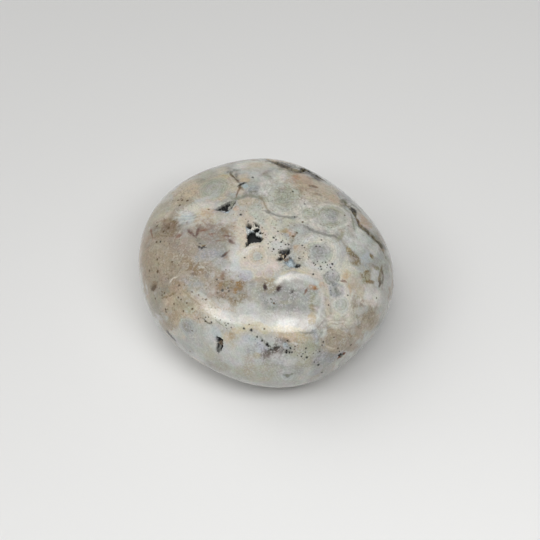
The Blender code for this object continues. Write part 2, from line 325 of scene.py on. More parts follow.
# Soft patches, back to front: pixel across and down, half widths in pixels, tilt in degrees
# (rising to the right), colour, strength, and softness of the edge as a share of the radius.
PATCHES = {
    "whole face": (
        (266, 272, 128, 116, 0, "stone", 0.75, 0.5),
    ),
    "left flank": (
        # the second patch is painted shade, darkening the left rim at its edge
        (180, 262, 50, 50, 0, "taupe", 0.95, 0.5), (144, 256, 6, 40, 0, "hazel", 0.6, 0.8),
        (152, 214, 9, 15, -42, "lichen", 0.7, 0.8), (207, 178, 20, 8, 20, "reed", 0.7, 0.7),
        (200, 181, 8, 2.6, 8, "moss", 0.55, 0.8), (185, 190, 17, 9, 32, "fawn", 0.95, 0.6),
        (190, 191, 10, 5, 30, "peach", 0.6, 0.8), (184, 200, 11, 4, 5, "wheat", 0.7, 0.8),
        (165, 206, 13, 7, 40, "wheat", 0.5, 0.8), (206, 199, 11, 3.5, 15, "mist", 0.9, 0.8),
        (193, 205, 8, 2.6, 28, "celadon", 0.7, 0.8), (222, 198, 5, 3, 20, "peach", 0.6, 0.8),
        (204, 213, 7, 4, -15, "peach", 0.6, 0.9), (222, 170, 6, 3, 20, "cream", 0.6, 0.9),
        (250, 169, 9, 4, 0, "sand", 0.8, 0.9), (264, 168, 4, 5, 0, "blush", 0.6, 0.9),
        (200, 206.5, 13, 4.5, 8, "ivory", 0.85, 0.7), (206, 213, 7, 5.5, -10, "peach", 0.95, 0.7),
        (205, 213, 4, 3, 0, "apricot", 0.5, 0.9), (203, 220, 12, 4, 0, "peach", 0.7, 0.8),
        (186, 219, 7.5, 6, 0, "frost", 0.9, 0.7), (184, 213, 6, 2, -8, "cloud", 0.9, 0.7),
        (185, 229, 9, 7, 0, "pewter", 0.8, 0.8), (168, 229, 12, 8, 25, "mocha", 0.7, 0.9),
        (170, 227, 5, 5, 60, "umber", 0.6, 0.9), (156, 230, 7, 6, 0, "taupe", 0.5, 0.9),
        (207, 231, 20, 10, -8, "dusk", 0.95, 0.6), (214, 233, 10, 7, 0, "smoke", 0.8, 0.8),
        (225, 234, 5, 8, -10, "mocha", 0.45, 0.9), (203, 229.5, 3.6, 1.8, 0, "rust", 0.5, 0.9),
        (211.5, 234, 2.4, 2.6, 0, "rust", 0.45, 0.9), (225, 230, 3.4, 2.4, -35, "umber", 0.6, 0.9),
        (227.5, 236, 3.6, 2.4, 0, "rust", 0.4, 0.9), (170, 246, 18, 6, 0, "dusk", 0.6, 0.8),
        (214, 247, 17, 8, 0, "smoke", 0.85, 0.7), (197.5, 240, 3, 2.6, 0, "moss", 0.7, 0.8),
        (201, 246, 3.2, 1.7, 0, "bronze", 0.75, 0.8), (209, 255, 16, 6.5, 8, "steel", 0.85, 0.7),
        (222, 263, 9, 5, 0, "ash", 0.8, 0.8), (150, 257, 8, 8, 0, "sand", 0.4, 0.8),
        (158, 246, 8, 6, 0, "drab", 0.7, 0.8), (170, 255, 9, 3.5, 0, "camel", 0.5, 0.9),
        (187, 261, 6, 4.5, 0, "camel", 0.8, 0.8), (166, 267, 17, 8, 0, "khaki", 0.8, 0.7),
        (157, 254, 8, 20, 0, "fawn", 0.4, 0.9), (162, 219, 8, 5, 30, "cream", 0.4, 1.0),
        (187, 315, 13, 6, 60, "peach", 0.65, 0.9), (172, 330, 5, 5, 0, "cream", 0.4, 0.9),
        (211, 321, 5, 3, -20, "sand", 0.4, 0.9), (184, 201, 8, 3.5, 12, "khaki", 0.2, 1.0),
        (152, 304, 5, 9, 10, "sand", 0.5, 1.0), (196, 271, 6.5, 4, -15, "bronze", 0.85, 0.7),
        (193.5, 274.3, 2.6, 1.8, 0, "bronze", 0.9, 0.7), (193.4, 274.2, 2.2, 1.5, 0, "bark", 1.0, 0.7),
        (207, 276.5, 2.8, 4.2, 0, "plum", 0.55, 0.8), (203, 281, 5, 4.5, 0, "khaki", 0.8, 0.9),
        (212.5, 276, 2.4, 4, -15, "mist", 0.5, 0.9), (194, 286, 15, 8, -18, "pewter", 0.9, 0.7),
        (201, 298, 11, 4, -38, "mist", 0.75, 0.8), (178, 290, 8, 8, -35, "sand", 0.95, 0.6),
        (177, 304, 17, 12, -10, "wheat", 0.95, 0.6), (168, 299, 6, 6, -20, "peach", 0.6, 0.8),
        (184, 311, 7, 4, -20, "butter", 0.5, 0.8), (182, 293, 6, 5, -30, "peach", 0.4, 0.9),
        (186, 306, 10, 6, -25, "lichen", 0.6, 0.8), (172, 321, 9, 8, -30, "sand", 0.85, 0.8),
        (177, 322, 4, 4, 0, "peach", 0.6, 0.9), (166, 326, 6, 5, -45, "hazel", 0.7, 0.9),
        (213, 291, 8, 5, -20, "rose", 0.5, 0.9), (154, 306, 6, 13, -18, "drab", 0.85, 0.7),
        (163, 292, 6, 5, 0, "slate", 0.35, 0.9), (153, 288, 5, 7, 0, "drab", 0.6, 0.9),
        (153.8, 286.5, 2.6, 4.8, -20, "umber", 0.8, 0.9), (153.4, 288, 1.9, 3, -20, "bark", 0.9, 0.9),
        # pale stone with a painted highlight: brightens the left end of the panels' reflection
        (207, 309, 20, 8, -35, "cream", 0.75, 0.8),
    ),
    "speckled bed": (
        (230, 289, 18, 12.5, -14, "mocha", 0.85, 1.0), (228, 285, 5, 4, 0, "olive", 0.7, 0.8),
        (237, 295, 7, 4.5, 0, "smoke", 0.7, 0.9), (239.3, 284.5, 2.8, 4.2, 15, "honey", 0.95, 0.7),
        (235, 291, 2.2, 3, 0, "honey", 0.85, 0.7), (220.5, 284.8, 2.4, 1.8, 0, "honey", 0.7, 0.8),
        (239.5, 301.5, 4.5, 2, 0, "bronze", 0.65, 0.8), (235, 300, 10, 2.6, 0, "bronze", 0.5, 0.9),
        (223, 276.5, 1.8, 4.2, -10, "rust", 0.6, 0.8), (226, 306, 18, 4, -8, "wheat", 0.8, 0.8),
        # painted highlight: lightens the stone under the left end of the panels' reflection
        (222, 302.5, 8, 4, -20, "mist", 0.6, 0.9),
    ),
    "veils left of the middle": (
        (236.5, 256, 4.5, 16, 4, "cloud", 0.9, 0.6), (232, 270, 8, 6, 0, "mist", 0.8, 0.8),
        (236, 277, 7, 4, 0, "mist", 0.9, 0.8), (256, 242, 23, 34, 8, "cream", 0.97, 0.6),
        (241, 251, 3.4, 9, -18, "cream", 0.8, 0.7), (231, 230, 4, 8, 0, "sand", 0.5, 0.9),
        (249, 250, 9, 4, 15, "pearl", 0.7, 0.8), (262, 264, 17, 5, -3, "blush", 0.9, 0.8),
        (237, 247, 3, 7, -10, "cloud", 0.7, 1.0), (235.5, 258, 3.4, 7, 8, "cloud", 0.7, 1.0),
        (235, 267, 5, 6, -20, "frost", 0.6, 1.0), (236.5, 274, 5, 4, 0, "mist", 0.6, 1.0),
        (266, 281, 12, 3.4, -4, "camel", 0.6, 0.9), (271, 278.5, 4, 4, 30, "mustard", 0.75, 0.9),
        (252, 280, 6, 3, 0, "sand", 0.55, 0.8), (250, 284, 6, 5, 0, "smoke", 0.6, 0.9),
        (254, 297, 9, 12, 0, "pewter", 0.8, 0.9), (256, 297, 5, 10, 0, "sage", 0.7, 0.8),
        (248, 308, 12, 5, -6, "mist", 0.7, 0.8),
    ),
    "heart": (
        (292, 296, 29, 16, -4, "pewter", 0.97, 0.85), (299, 283, 15, 5, -4, "stone", 0.85, 0.8),
        (306, 300, 9, 7, 0, "ash", 0.8, 0.8), (273, 303, 7, 4.5, -20, "smoke", 0.3, 1.0),
        (269, 287, 12, 5, 0, "khaki", 0.6, 0.8), (286, 302.5, 6, 1.8, 0, "lichen", 0.6, 0.9),
        (281, 307.5, 15, 3.5, -6, "smoke", 0.25, 1.0), (313.5, 301, 4, 9, 0, "lichen", 0.85, 0.7),
        (313.5, 307, 2.6, 2.2, 0, "mustard", 0.8, 0.7), (314, 310, 4.5, 5, 0, "khaki", 0.7, 0.8),
        (312.5, 318, 4, 5.5, 0, "mustard", 0.8, 0.7), (317, 286.5, 6, 2.8, 12, "sienna", 0.95, 0.8),
        (315, 288, 2.2, 1.4, 10, "rust", 0.45, 0.9), (321, 283.5, 3, 1.8, 30, "apricot", 0.8, 0.8),
    ),
    "top": (
        (254, 164.5, 17, 5, 2, "ivory", 0.95, 0.6), (256, 165, 9, 3, 3, "apricot", 0.45, 0.9),
        (240, 166, 7, 2.4, 5, "pearl", 0.6, 0.8), (252, 174, 13, 6, 0, "cloud", 0.7, 0.8),
        (243, 177, 6, 4, 0, "cream", 0.8, 0.8), (236.5, 170.3, 4.5, 1.5, 5, "slate", 0.6, 0.8),
        (236.5, 175.5, 2, 2.5, 20, "slate", 0.5, 0.8), (229, 172.3, 3, 1.3, 5, "slate", 0.6, 0.8),
        (224, 177, 7, 3, 8, "butter", 0.9, 0.7), (224, 176.4, 3.5, 1.5, 8, "mustard", 0.7, 0.8),
        (233, 184, 5.5, 8, 25, "fawn", 0.9, 0.7), (244.5, 180, 5.5, 2.2, 5, "peach", 0.9, 0.8),
        (245.6, 186, 3, 2.1, 0, "ice", 0.95, 0.6), (253.5, 188.5, 5, 4.5, 0, "steel", 0.85, 0.7),
        (253, 186, 2.6, 1.4, 0, "frost", 0.7, 0.8), (246, 192.5, 6, 3, 0, "slate", 0.2, 0.9),
        (241, 191, 3.2, 3.8, 0, "cream", 0.8, 0.8), (268, 188, 8, 10, 0, "pearl", 0.85, 0.9),
        (280, 176, 9, 7, -10, "pearl", 0.85, 0.7), (275, 183, 3, 6, -25, "stone", 0.4, 0.8),
        (247, 202, 12, 4, 0, "fawn", 0.9, 0.7), (256, 211, 7, 7, 0, "celadon", 0.9, 0.7),
        (264, 201, 4.5, 5, -50, "fawn", 0.8, 0.8), (262, 220, 7, 7, 0, "celadon", 0.85, 0.8),
        (272, 221, 6, 5, 0, "cream", 0.8, 0.8), (236, 208.5, 3, 2.4, 20, "apricot", 0.7, 0.8),
    ),
    "pink shoulder": (
        (313, 187, 28, 12, -25, "cream", 0.97, 0.6), (302, 180, 12, 6, -22, "apricot", 0.6, 0.9),
        (297, 177, 4, 2, -10, "sienna", 0.5, 0.8), (322, 195, 12, 5, -15, "apricot", 0.15, 0.9),
        (335, 199, 6, 5, -45, "apricot", 0.45, 0.9), (314, 186.8, 5.5, 1.1, -16, "mocha", 0.9, 0.7),
        (317, 194, 4.5, 0.9, -12, "mocha", 0.6, 0.8), (299, 190, 4, 5, -30, "camel", 0.5, 0.9),
        (320, 202, 14, 2.4, -5, "lichen", 0.3, 0.8), (345, 196, 9, 5, -42, "steel", 0.6, 0.8),
        (344, 202, 4, 4, -40, "moss", 0.5, 0.7), (366, 221, 9, 4.5, -52, "apricot", 0.65, 0.8),
    ),
    "among the orbs": (
        (308, 212, 40, 15, -8, "ivory", 0.75, 0.7), (303, 203.5, 11, 4.5, -12, "pearl", 0.8, 0.8),
        (289, 224, 14, 7, -15, "reed", 0.6, 0.8), (304, 229, 9, 4, -8, "steel", 0.5, 0.9),
        (285, 231, 7, 2.6, -6, "mustard", 0.85, 0.8), (291.5, 234, 4, 3, -30, "sienna", 0.6, 0.8),
        (291, 238.5, 3, 4, 0, "sand", 0.5, 0.9), (275, 228, 8, 5, 0, "ivory", 0.7, 0.8),
        (275, 243, 11, 9, 0, "ivory", 0.8, 0.7), (277, 245, 6, 4, -20, "mist", 0.8, 0.8),
        (270, 251.5, 7, 4.5, 0, "stone", 0.5, 0.9), (301, 250, 5.5, 6, 0, "sand", 0.85, 0.8),
        (297.5, 246.5, 3, 3, 0, "sienna", 0.5, 0.9), (300, 258, 7, 5, 0, "celadon", 0.7, 0.8),
        (305, 268, 12, 4, -5, "cream", 0.85, 0.8), (318, 275, 8, 5, -20, "blush", 0.8, 0.8),
        (326, 263, 8, 4, -10, "ice", 0.8, 0.8),
    ),
    "right": (
        (358, 240, 20, 10, -38, "cloud", 0.95, 0.7), (372, 258, 13, 14, -30, "ash", 0.85, 0.7),
        # the second patch here is a painted highlight, a glint on the right flank
        (366, 249, 8, 4, -20, "mist", 0.7, 0.8), (374, 250, 5, 7, -30, "cloud", 0.75, 0.8),
        (343.5, 251, 3, 12, 12, "cloud", 0.75, 0.8), (341, 262, 6, 10, 10, "ivory", 0.8, 0.8),
        (353, 256, 3.4, 9.5, 38, "olive", 0.85, 1.0), (348, 249.5, 2, 2.4, 35, "mustard", 0.7, 0.8),
        (354.4, 258.5, 1.6, 3, 20, "bark", 0.85, 0.8), (352.5, 263, 6.5, 2.4, -8, "bronze", 0.8, 1.0),
        (366, 258, 5, 6, 0, "frost", 0.8, 0.8), (352, 268, 9, 3.5, -25, "frost", 0.7, 0.8),
        (371.7, 256, 3, 1.3, -48, "bronze", 0.9, 0.7), (346, 292, 13, 34, 0, "ivory", 0.9, 0.6),
        (345, 274.5, 6.5, 5, 0, "butter", 0.95, 0.8), (346.5, 276.5, 4, 3.2, -10, "apricot", 0.7, 0.9),
        (343.6, 281.4, 3.6, 1.1, -12, "rust", 0.85, 0.8), (353, 284, 6, 8, 10, "wheat", 0.8, 0.8),
        (350, 290, 1.6, 7, 0, "apricot", 0.6, 0.9), (374.3, 275, 3.2, 7.6, -8, "mist", 0.85, 0.6),
        (366.5, 277, 3.6, 7.5, -8, "lichen", 0.9, 0.7), (366.5, 271.5, 2.2, 1.4, 0, "bronze", 0.8, 1.1),
        (370, 281.8, 3.8, 1.7, -10, "bronze", 0.8, 1.2), (376, 267.6, 4, 1.8, -10, "olive", 0.75, 1.2),
        (381, 273, 1.6, 8, -12, "bronze", 0.85, 0.7), (380.3, 283, 1.8, 4, -10, "bark", 0.85, 0.7),
        (376.5, 284, 2.2, 2.2, 0, "mist", 0.8, 0.7), (368, 297, 15, 9, -3, "pearl", 0.95, 0.6),
        (360, 291, 5, 6, 0, "fawn", 0.8, 0.8), (371, 303, 10, 3, 0, "blush", 0.7, 0.8),
        (354.5, 301, 3, 7, 0, "khaki", 0.5, 1.0), (387, 280, 4, 22, -4, "stone", 0.7, 0.8),
        (387, 264, 3, 8, 0, "moss", 0.4, 0.9),
    ),
    "lower right": (
        (340, 319.5, 19, 7, -5, "ivory", 0.9, 0.7), (370, 321, 8, 11, -12, "wheat", 0.95, 0.8),
        (363, 311, 6, 4, 35, "mist", 0.7, 0.9), (371, 318, 5, 9, -10, "khaki", 0.6, 1.0),
        (356, 333, 8, 6, -35, "sand", 0.75, 0.8), (349.5, 337, 2, 5, 5, "ochre", 0.7, 0.8),
        (351, 346, 6, 5, -20, "hazel", 0.8, 0.8), (322, 306, 6, 16, 8, "stone", 0.8, 0.8),
        (328, 309, 3.5, 8, 8, "wheat", 0.6, 0.8), (315, 337, 3.4, 10, 8, "frost", 0.85, 0.8),
        (304, 350, 11, 14, 0, "reed", 0.9, 0.7), (305, 363, 9, 6, 8, "lichen", 0.8, 0.8),
        (328, 356, 14, 8, 25, "steel", 0.8, 0.8), (325, 346, 7, 6, 0, "drab", 0.6, 0.8),
        (315, 372, 7, 3, 15, "frost", 0.45, 1.0),
    ),
    "lower middle": (
        (257, 326, 18, 4.5, -5, "butter", 0.85, 0.8), (287, 330, 16, 4, -10, "butter", 0.9, 0.7),
        (292, 337, 12, 5, -14, "peach", 0.85, 0.7), (298, 344, 5, 4, 0, "wheat", 0.7, 0.8),
        (254, 345, 13, 8, -15, "frost", 0.85, 0.7), (236, 348, 16, 8, -10, "mist", 0.8, 0.7),
        (273, 340, 10, 4, -8, "mist", 0.8, 0.8), (270, 353, 7, 4.5, 40, "plum", 0.8, 1.2),
        (274.5, 348, 5.5, 1.8, 3, "soot", 0.85, 0.9), (279, 356, 5, 2, 0, "smoke", 0.4, 0.9),
        (280, 351, 5, 3, 0, "plum", 0.5, 0.9), (284, 341, 6, 2.6, -8, "plum", 0.55, 0.8),
        (285.5, 346, 2.6, 3.2, 0, "ice", 0.7, 0.8), (288, 349, 3, 4, 0, "slate", 0.6, 0.9),
        (230, 338, 7, 6, 20, "mustard", 0.5, 0.9), (223, 340, 5, 5, 0, "cream", 0.55, 0.9),
        (229.5, 336.5, 5, 4, 20, "mustard", 0.35, 0.9), (277, 331, 10, 3, -8, "wheat", 0.5, 0.9),
        (207, 364, 10, 5, -25, "smoke", 0.4, 0.9), (264, 360, 7, 4, 0, "smoke", 0.5, 1.0),
        (231.5, 346.5, 5, 4, 0, "mustard", 0.8, 0.9), (240, 330, 10, 4, 5, "butter", 0.85, 0.8),
        (256.5, 355.5, 3.5, 3, 0, "mustard", 0.6, 0.9), (224, 356, 34, 12, -22, "mist", 0.7, 0.7),
        (206, 352, 10, 8, -30, "reed", 0.8, 0.8), (222, 366, 8, 4, -25, "lichen", 0.6, 0.9),
        (259, 375, 22, 8, -3, "reed", 0.85, 0.7), (248, 366, 5, 9, 0, "wheat", 0.5, 0.9),
        (285, 360, 16, 5, 0, "mist", 0.85, 0.8), (292, 371, 14, 5, 0, "pewter", 0.6, 0.9),
        (272, 364, 9, 4, 0, "smoke", 0.3, 0.9), (198, 357, 7, 4, -30, "mist", 0.8, 0.9),
        (266.5, 356, 4.5, 3, 30, "plum", 0.6, 1.4), (320, 369, 9, 6, 20, "pewter", 0.6, 0.9),
        (196, 338, 15, 11, -25, "stone", 0.8, 0.7), (210, 333, 6, 8, 0, "mist", 0.7, 0.8),
        (216, 332, 3.6, 7, 25, "frost", 0.85, 0.8), (228, 323.5, 14, 3, -12, "celadon", 0.8, 0.8),
        # painted highlight: the next two patches brighten the panels' reflection on the front shoulder
        (248, 319, 11, 4, -3, "pearl", 0.7, 0.9), (288, 323, 9, 4, -5, "snow", 0.5, 0.9),
        (185, 343, 7, 9, -30, "ash", 0.6, 0.9),
    ),
}

# Round markings: pixel across and down, half widths, tilt, and rings from the middle out
# as shares of the radius with their colours. The last ring fades into what lies around it.
ORBS = {
    "green orb": (284, 196.5, 17.5, 16, 0, (
        (0.0, "sage"), (0.4, "sage"), (0.58, "reed"), (0.72, "celadon"), (1.0, "celadon"),
    )),
    "left orb": (214, 188, 20, 13, 25, (
        (0.0, "sage"), (0.25, "stone"), (0.5, "sage"), (0.7, "reed"), (0.9, "fawn"), (1.0, "fawn"),
    )),
    "ringed orb": (331, 216.5, 21, 14, -5, (
        (0.0, "ash"), (0.3, "stone"), (0.5, "sage"), (0.62, "reed"), (0.74, "celadon"), (0.86, "pearl"),
        (1.0, "blush"),
    )),
    "small orb": (309.5, 213.5, 9, 6.5, 0, (
        (0.0, "reed"), (0.5, "celadon"), (0.7, "reed"), (0.8, "celadon"), (0.92, "ivory"), (1.0, "blush"),
    )),
    "great orb": (320, 252, 25, 20, 0, (
        (0.0, "ash"), (0.08, "pewter"), (0.16, "ash"), (0.26, "pewter"), (0.34, "ash"), (0.46, "celadon"),
        (0.58, "ivory"), (0.8, "cloud"), (0.93, "ivory"), (1.0, "ivory"),
    )),
    "middle orb": (257.5, 256, 10, 9.5, 0, (
        (0.0, "ash"), (0.2, "stone"), (0.4, "celadon"), (0.48, "fawn"), (0.6, "fawn"), (0.75, "cream"),
        (1.0, "cream"),
    )),
    "lavender orb": (245.3, 275.5, 8.5, 6.5, 0, (
        (0.0, "lilac"), (0.75, "lilac"), (0.95, "mist"), (1.0, "mist"),
    )),
    "pink orb": (258.5, 273.5, 4.4, 4, 0, ((0.0, "rose"), (0.6, "rose"), (1.0, "fawn"))),
    "rosy ring": (268.5, 273, 7, 6, 0, ((0.0, "rose"), (0.5, "rose"), (0.7, "fawn"), (1.0, "fawn"))),
    "grey orb": (332.3, 277, 9.2, 9.4, 0, (
        (0.0, "pewter"), (0.25, "ash"), (0.45, "pewter"), (0.6, "ash"), (0.72, "pewter"), (0.88, "celadon"),
        (1.0, "celadon"),
    )),
    "lilac orb": (336.5, 290.5, 9, 9.5, 12, (
        (0.0, "smoke"), (0.2, "pewter"), (0.5, "ash"), (0.68, "steel"), (0.85, "mist"), (1.0, "mist"),
    )),
    "mint orb": (341, 304.5, 9, 9.5, 0, ((0.0, "mist"), (0.6, "celadon"), (0.8, "cloud"), (1.0, "ivory"))),
    "low left orb": (187, 327, 11, 8, -55, (
        (0.0, "steel"), (0.2, "smoke"), (0.4, "pewter"), (0.6, "ash"), (1.0, "stone"),
    )),
    "fawn orb": (335, 341, 16, 14, 0, (
        (0.0, "wheat"), (0.45, "wheat"), (0.6, "fawn"), (0.75, "wheat"), (0.88, "fawn"), (1.0, "celadon"),
    )),
    "bottom orb": (287.5, 375.5, 11, 8, 0, (
        (0.0, "moss"), (0.12, "moss"), (0.25, "ash"), (0.5, "mist"), (0.75, "stone"), (1.0, "stone"),
    )),
}

# Washes over the orbs, and patches of threads, flecks, dots and bands, laid out as the soft
# patches are.
TEXTURED_PATCHES = {
    "soft": (
        (302, 253, 5, 9, 0, "sand", 0.45, 0.9), (290, 259, 5, 4, 0, "ash", 0.4, 0.9),
        (312, 261, 6, 4, 0, "ash", 0.4, 0.9), (323, 220, 7, 5, 0, "cloud", 0.6, 0.9),
        (343, 220, 5, 6, 0, "pearl", 0.5, 0.9), (298, 230, 8, 4, -10, "mist", 0.6, 0.9),
        (322, 330, 5, 6, 0, "mist", 0.7, 0.9), (336, 326, 9, 3, 0, "ivory", 0.5, 0.9),
        (352, 330, 5, 4, 0, "mist", 0.4, 0.9), (345, 346, 8, 4, 0, "taupe", 0.5, 0.9),
        (352, 341, 6, 4, 0, "drab", 0.8, 0.9), (332, 352, 7, 4, 0, "umber", 0.4, 0.9),
        (322, 330, 5, 7, 0, "pearl", 0.5, 0.9), (331, 270, 13, 4, 0, "pearl", 0.45, 0.9),
        (342, 291, 5, 6, 0, "pearl", 0.5, 0.9), (302, 291, 5, 5, 0, "pearl", 0.15, 0.9),
        (272, 288, 7, 6, 0, "khaki", 0.4, 0.9), (292, 262, 7, 5, -40, "smoke", 0.55, 0.9),
        (232.5, 245, 5, 9, 0, "stone", 0.5, 0.9), (212, 215, 6, 6, 20, "taupe", 0.3, 0.9),
        (202, 220, 5, 3, 0, "cream", 0.5, 0.9), (227, 220, 7, 3, 0, "blush", 0.5, 0.9),
        (362, 230, 4, 4, -40, "pearl", 0.5, 0.9), (371, 240, 5, 5, 0, "mist", 0.4, 0.9),
        (232, 240, 5, 4, 0, "sand", 0.4, 0.9), (199, 319, 7, 4, -30, "peach", 0.5, 0.9),
        (352, 281, 5, 4, 0, "ivory", 0.45, 0.9), (322, 291, 4, 6, 0, "peach", 0.4, 0.9),
        (237, 271, 9, 4, 0, "cloud", 0.35, 0.9), (262, 269, 7, 3, 0, "pearl", 0.4, 0.9),
        (247, 301, 8, 4, 0, "sand", 0.3, 0.9), (272, 301, 6, 4, 0, "mist", 0.4, 0.9),
        (272, 281, 6, 3, 0, "sand", 0.4, 0.9), (225, 338, 3, 6, 10, "peach", 0.5, 0.9),
        (326, 354, 9, 6, 0, "pewter", 0.4, 0.9), (321, 341, 4, 5, 0, "ash", 0.35, 0.9),
        (292, 371, 12, 3, 0, "pewter", 0.35, 0.9), (369, 222, 6, 4, -40, "sand", 0.5, 0.9),
        (352, 231, 4, 4, 0, "sand", 0.4, 0.9), (342, 230, 4, 3, 0, "peach", 0.4, 0.9),
        (372, 291, 6, 4, 0, "stone", 0.35, 0.9), (187.5, 328, 3.5, 6, 25, "pewter", 0.5, 1.0),
        (201.5, 246.4, 3.6, 1.2, 12, "honey", 0.8, 0.9),
    ),
    "threads": (
        (166, 229, 16, 10, 25, "bark", 0.35, 0.8), (212, 232, 24, 11, -10, "mocha", 0.5, 0.8),
        (190, 262, 26, 16, 0, "umber", 0.3, 0.8), (152, 262, 11, 30, 0, "umber", 0.14, 0.8),
        (230, 288, 18, 13, -14, "bronze", 0.6, 1.0), (300, 218, 60, 24, -12, "slate", 0.22, 0.9),
        (262, 180, 34, 16, 0, "moss", 0.18, 0.8), (368, 258, 20, 26, 0, "olive", 0.12, 0.8),
        (366, 277, 4, 10, 0, "bronze", 0.5, 0.8), (331, 277, 8, 8, 0, "slate", 0.5, 0.6),
        (336, 291, 7, 8, 0, "slate", 0.45, 0.6), (170, 262, 28, 26, 0, "camel", 0.35, 0.9),
        (300, 188, 26, 12, -25, "hazel", 0.3, 0.9), (272, 352, 24, 8, 0, "plum", 0.35, 0.9),
        (180, 304, 26, 20, 30, "camel", 0.35, 0.8), (335, 340, 24, 20, -20, "umber", 0.25, 0.9),
        (367, 317, 13, 15, 25, "umber", 0.4, 0.9), (291, 262, 11, 9, 0, "slate", 0.5, 0.9),
        (286, 164, 22, 4, -18, "loam", 0.6, 0.8), (349, 205, 10, 4, -45, "loam", 0.4, 0.8),
    ),
    "flecks": (
        (186, 196, 20, 12, 25, "camel", 0.5, 0.8), (353, 257, 7, 11, 35, "stone", 0.3, 0.8),
        (371, 275, 10, 11, 0, "mist", 0.25, 0.8), (172, 250, 34, 40, 0, "umber", 0.4, 0.8),
        (152, 256, 11, 30, 0, "umber", 0.25, 0.8), (175, 264, 36, 36, 0, "wheat", 0.45, 0.9),
        (190, 190, 30, 16, 25, "khaki", 0.4, 0.8), (341, 303, 8, 9, 0, "cloud", 0.6, 0.8),
        (230, 288, 19, 14, -15, "umber", 0.6, 0.9), (212, 238, 24, 14, 0, "bark", 0.3, 0.8),
        (280, 230, 110, 90, 0, "cloud", 0.35, 0.8), (240, 350, 80, 34, -8, "cloud", 0.3, 0.8),
        (318, 188, 30, 13, -26, "camel", 0.35, 0.8), (292, 290, 30, 14, 0, "cloud", 0.25, 0.8),
        (268, 300, 9, 9, 0, "slate", 0.7, 0.7), (368, 262, 18, 22, 0, "olive", 0.2, 0.8),
        (367, 317, 13, 15, 25, "fawn", 0.4, 0.8),
    ),
    "dots": (
        (272, 246, 15, 16, 0, "soot", 0.7, 0.9), (255, 224, 20, 20, 0, "bark", 0.5, 0.9),
        (181, 200, 16, 8, 20, "bark", 0.5, 0.8), (166, 230, 18, 12, 20, "bark", 0.6, 0.8),
        (229, 287, 17, 12, -12, "soot", 0.6, 0.8), (178, 280, 40, 44, 10, "bark", 0.45, 0.9),
        (298, 254, 10, 14, 0, "soot", 0.75, 0.8), (324, 266, 14, 6, 0, "soot", 0.75, 0.8),
        (332, 285, 7, 14, 10, "soot", 0.6, 0.8), (218, 322, 22, 5, -10, "loam", 0.8, 0.8),
        (306, 352, 12, 10, 0, "soot", 0.35, 0.8), (280, 346, 26, 8, -10, "soot", 0.5, 0.9),
        (305, 212, 60, 30, -10, "bark", 0.35, 0.9), (268, 299, 9, 8, 0, "ink", 0.5, 0.8),
    ),
    "bands": (
        (198, 214, 24, 12, 20, "ivory", 0.35, 0.8), (186, 217, 10, 8, 0, "cloud", 0.4, 0.8),
        (325, 305, 14, 24, 0, "pearl", 0.3, 0.9), (250, 322, 60, 10, -5, "ivory", 0.2, 0.9),
        (232, 182, 8, 10, 20, "ivory", 0.3, 0.9),
    ),
}

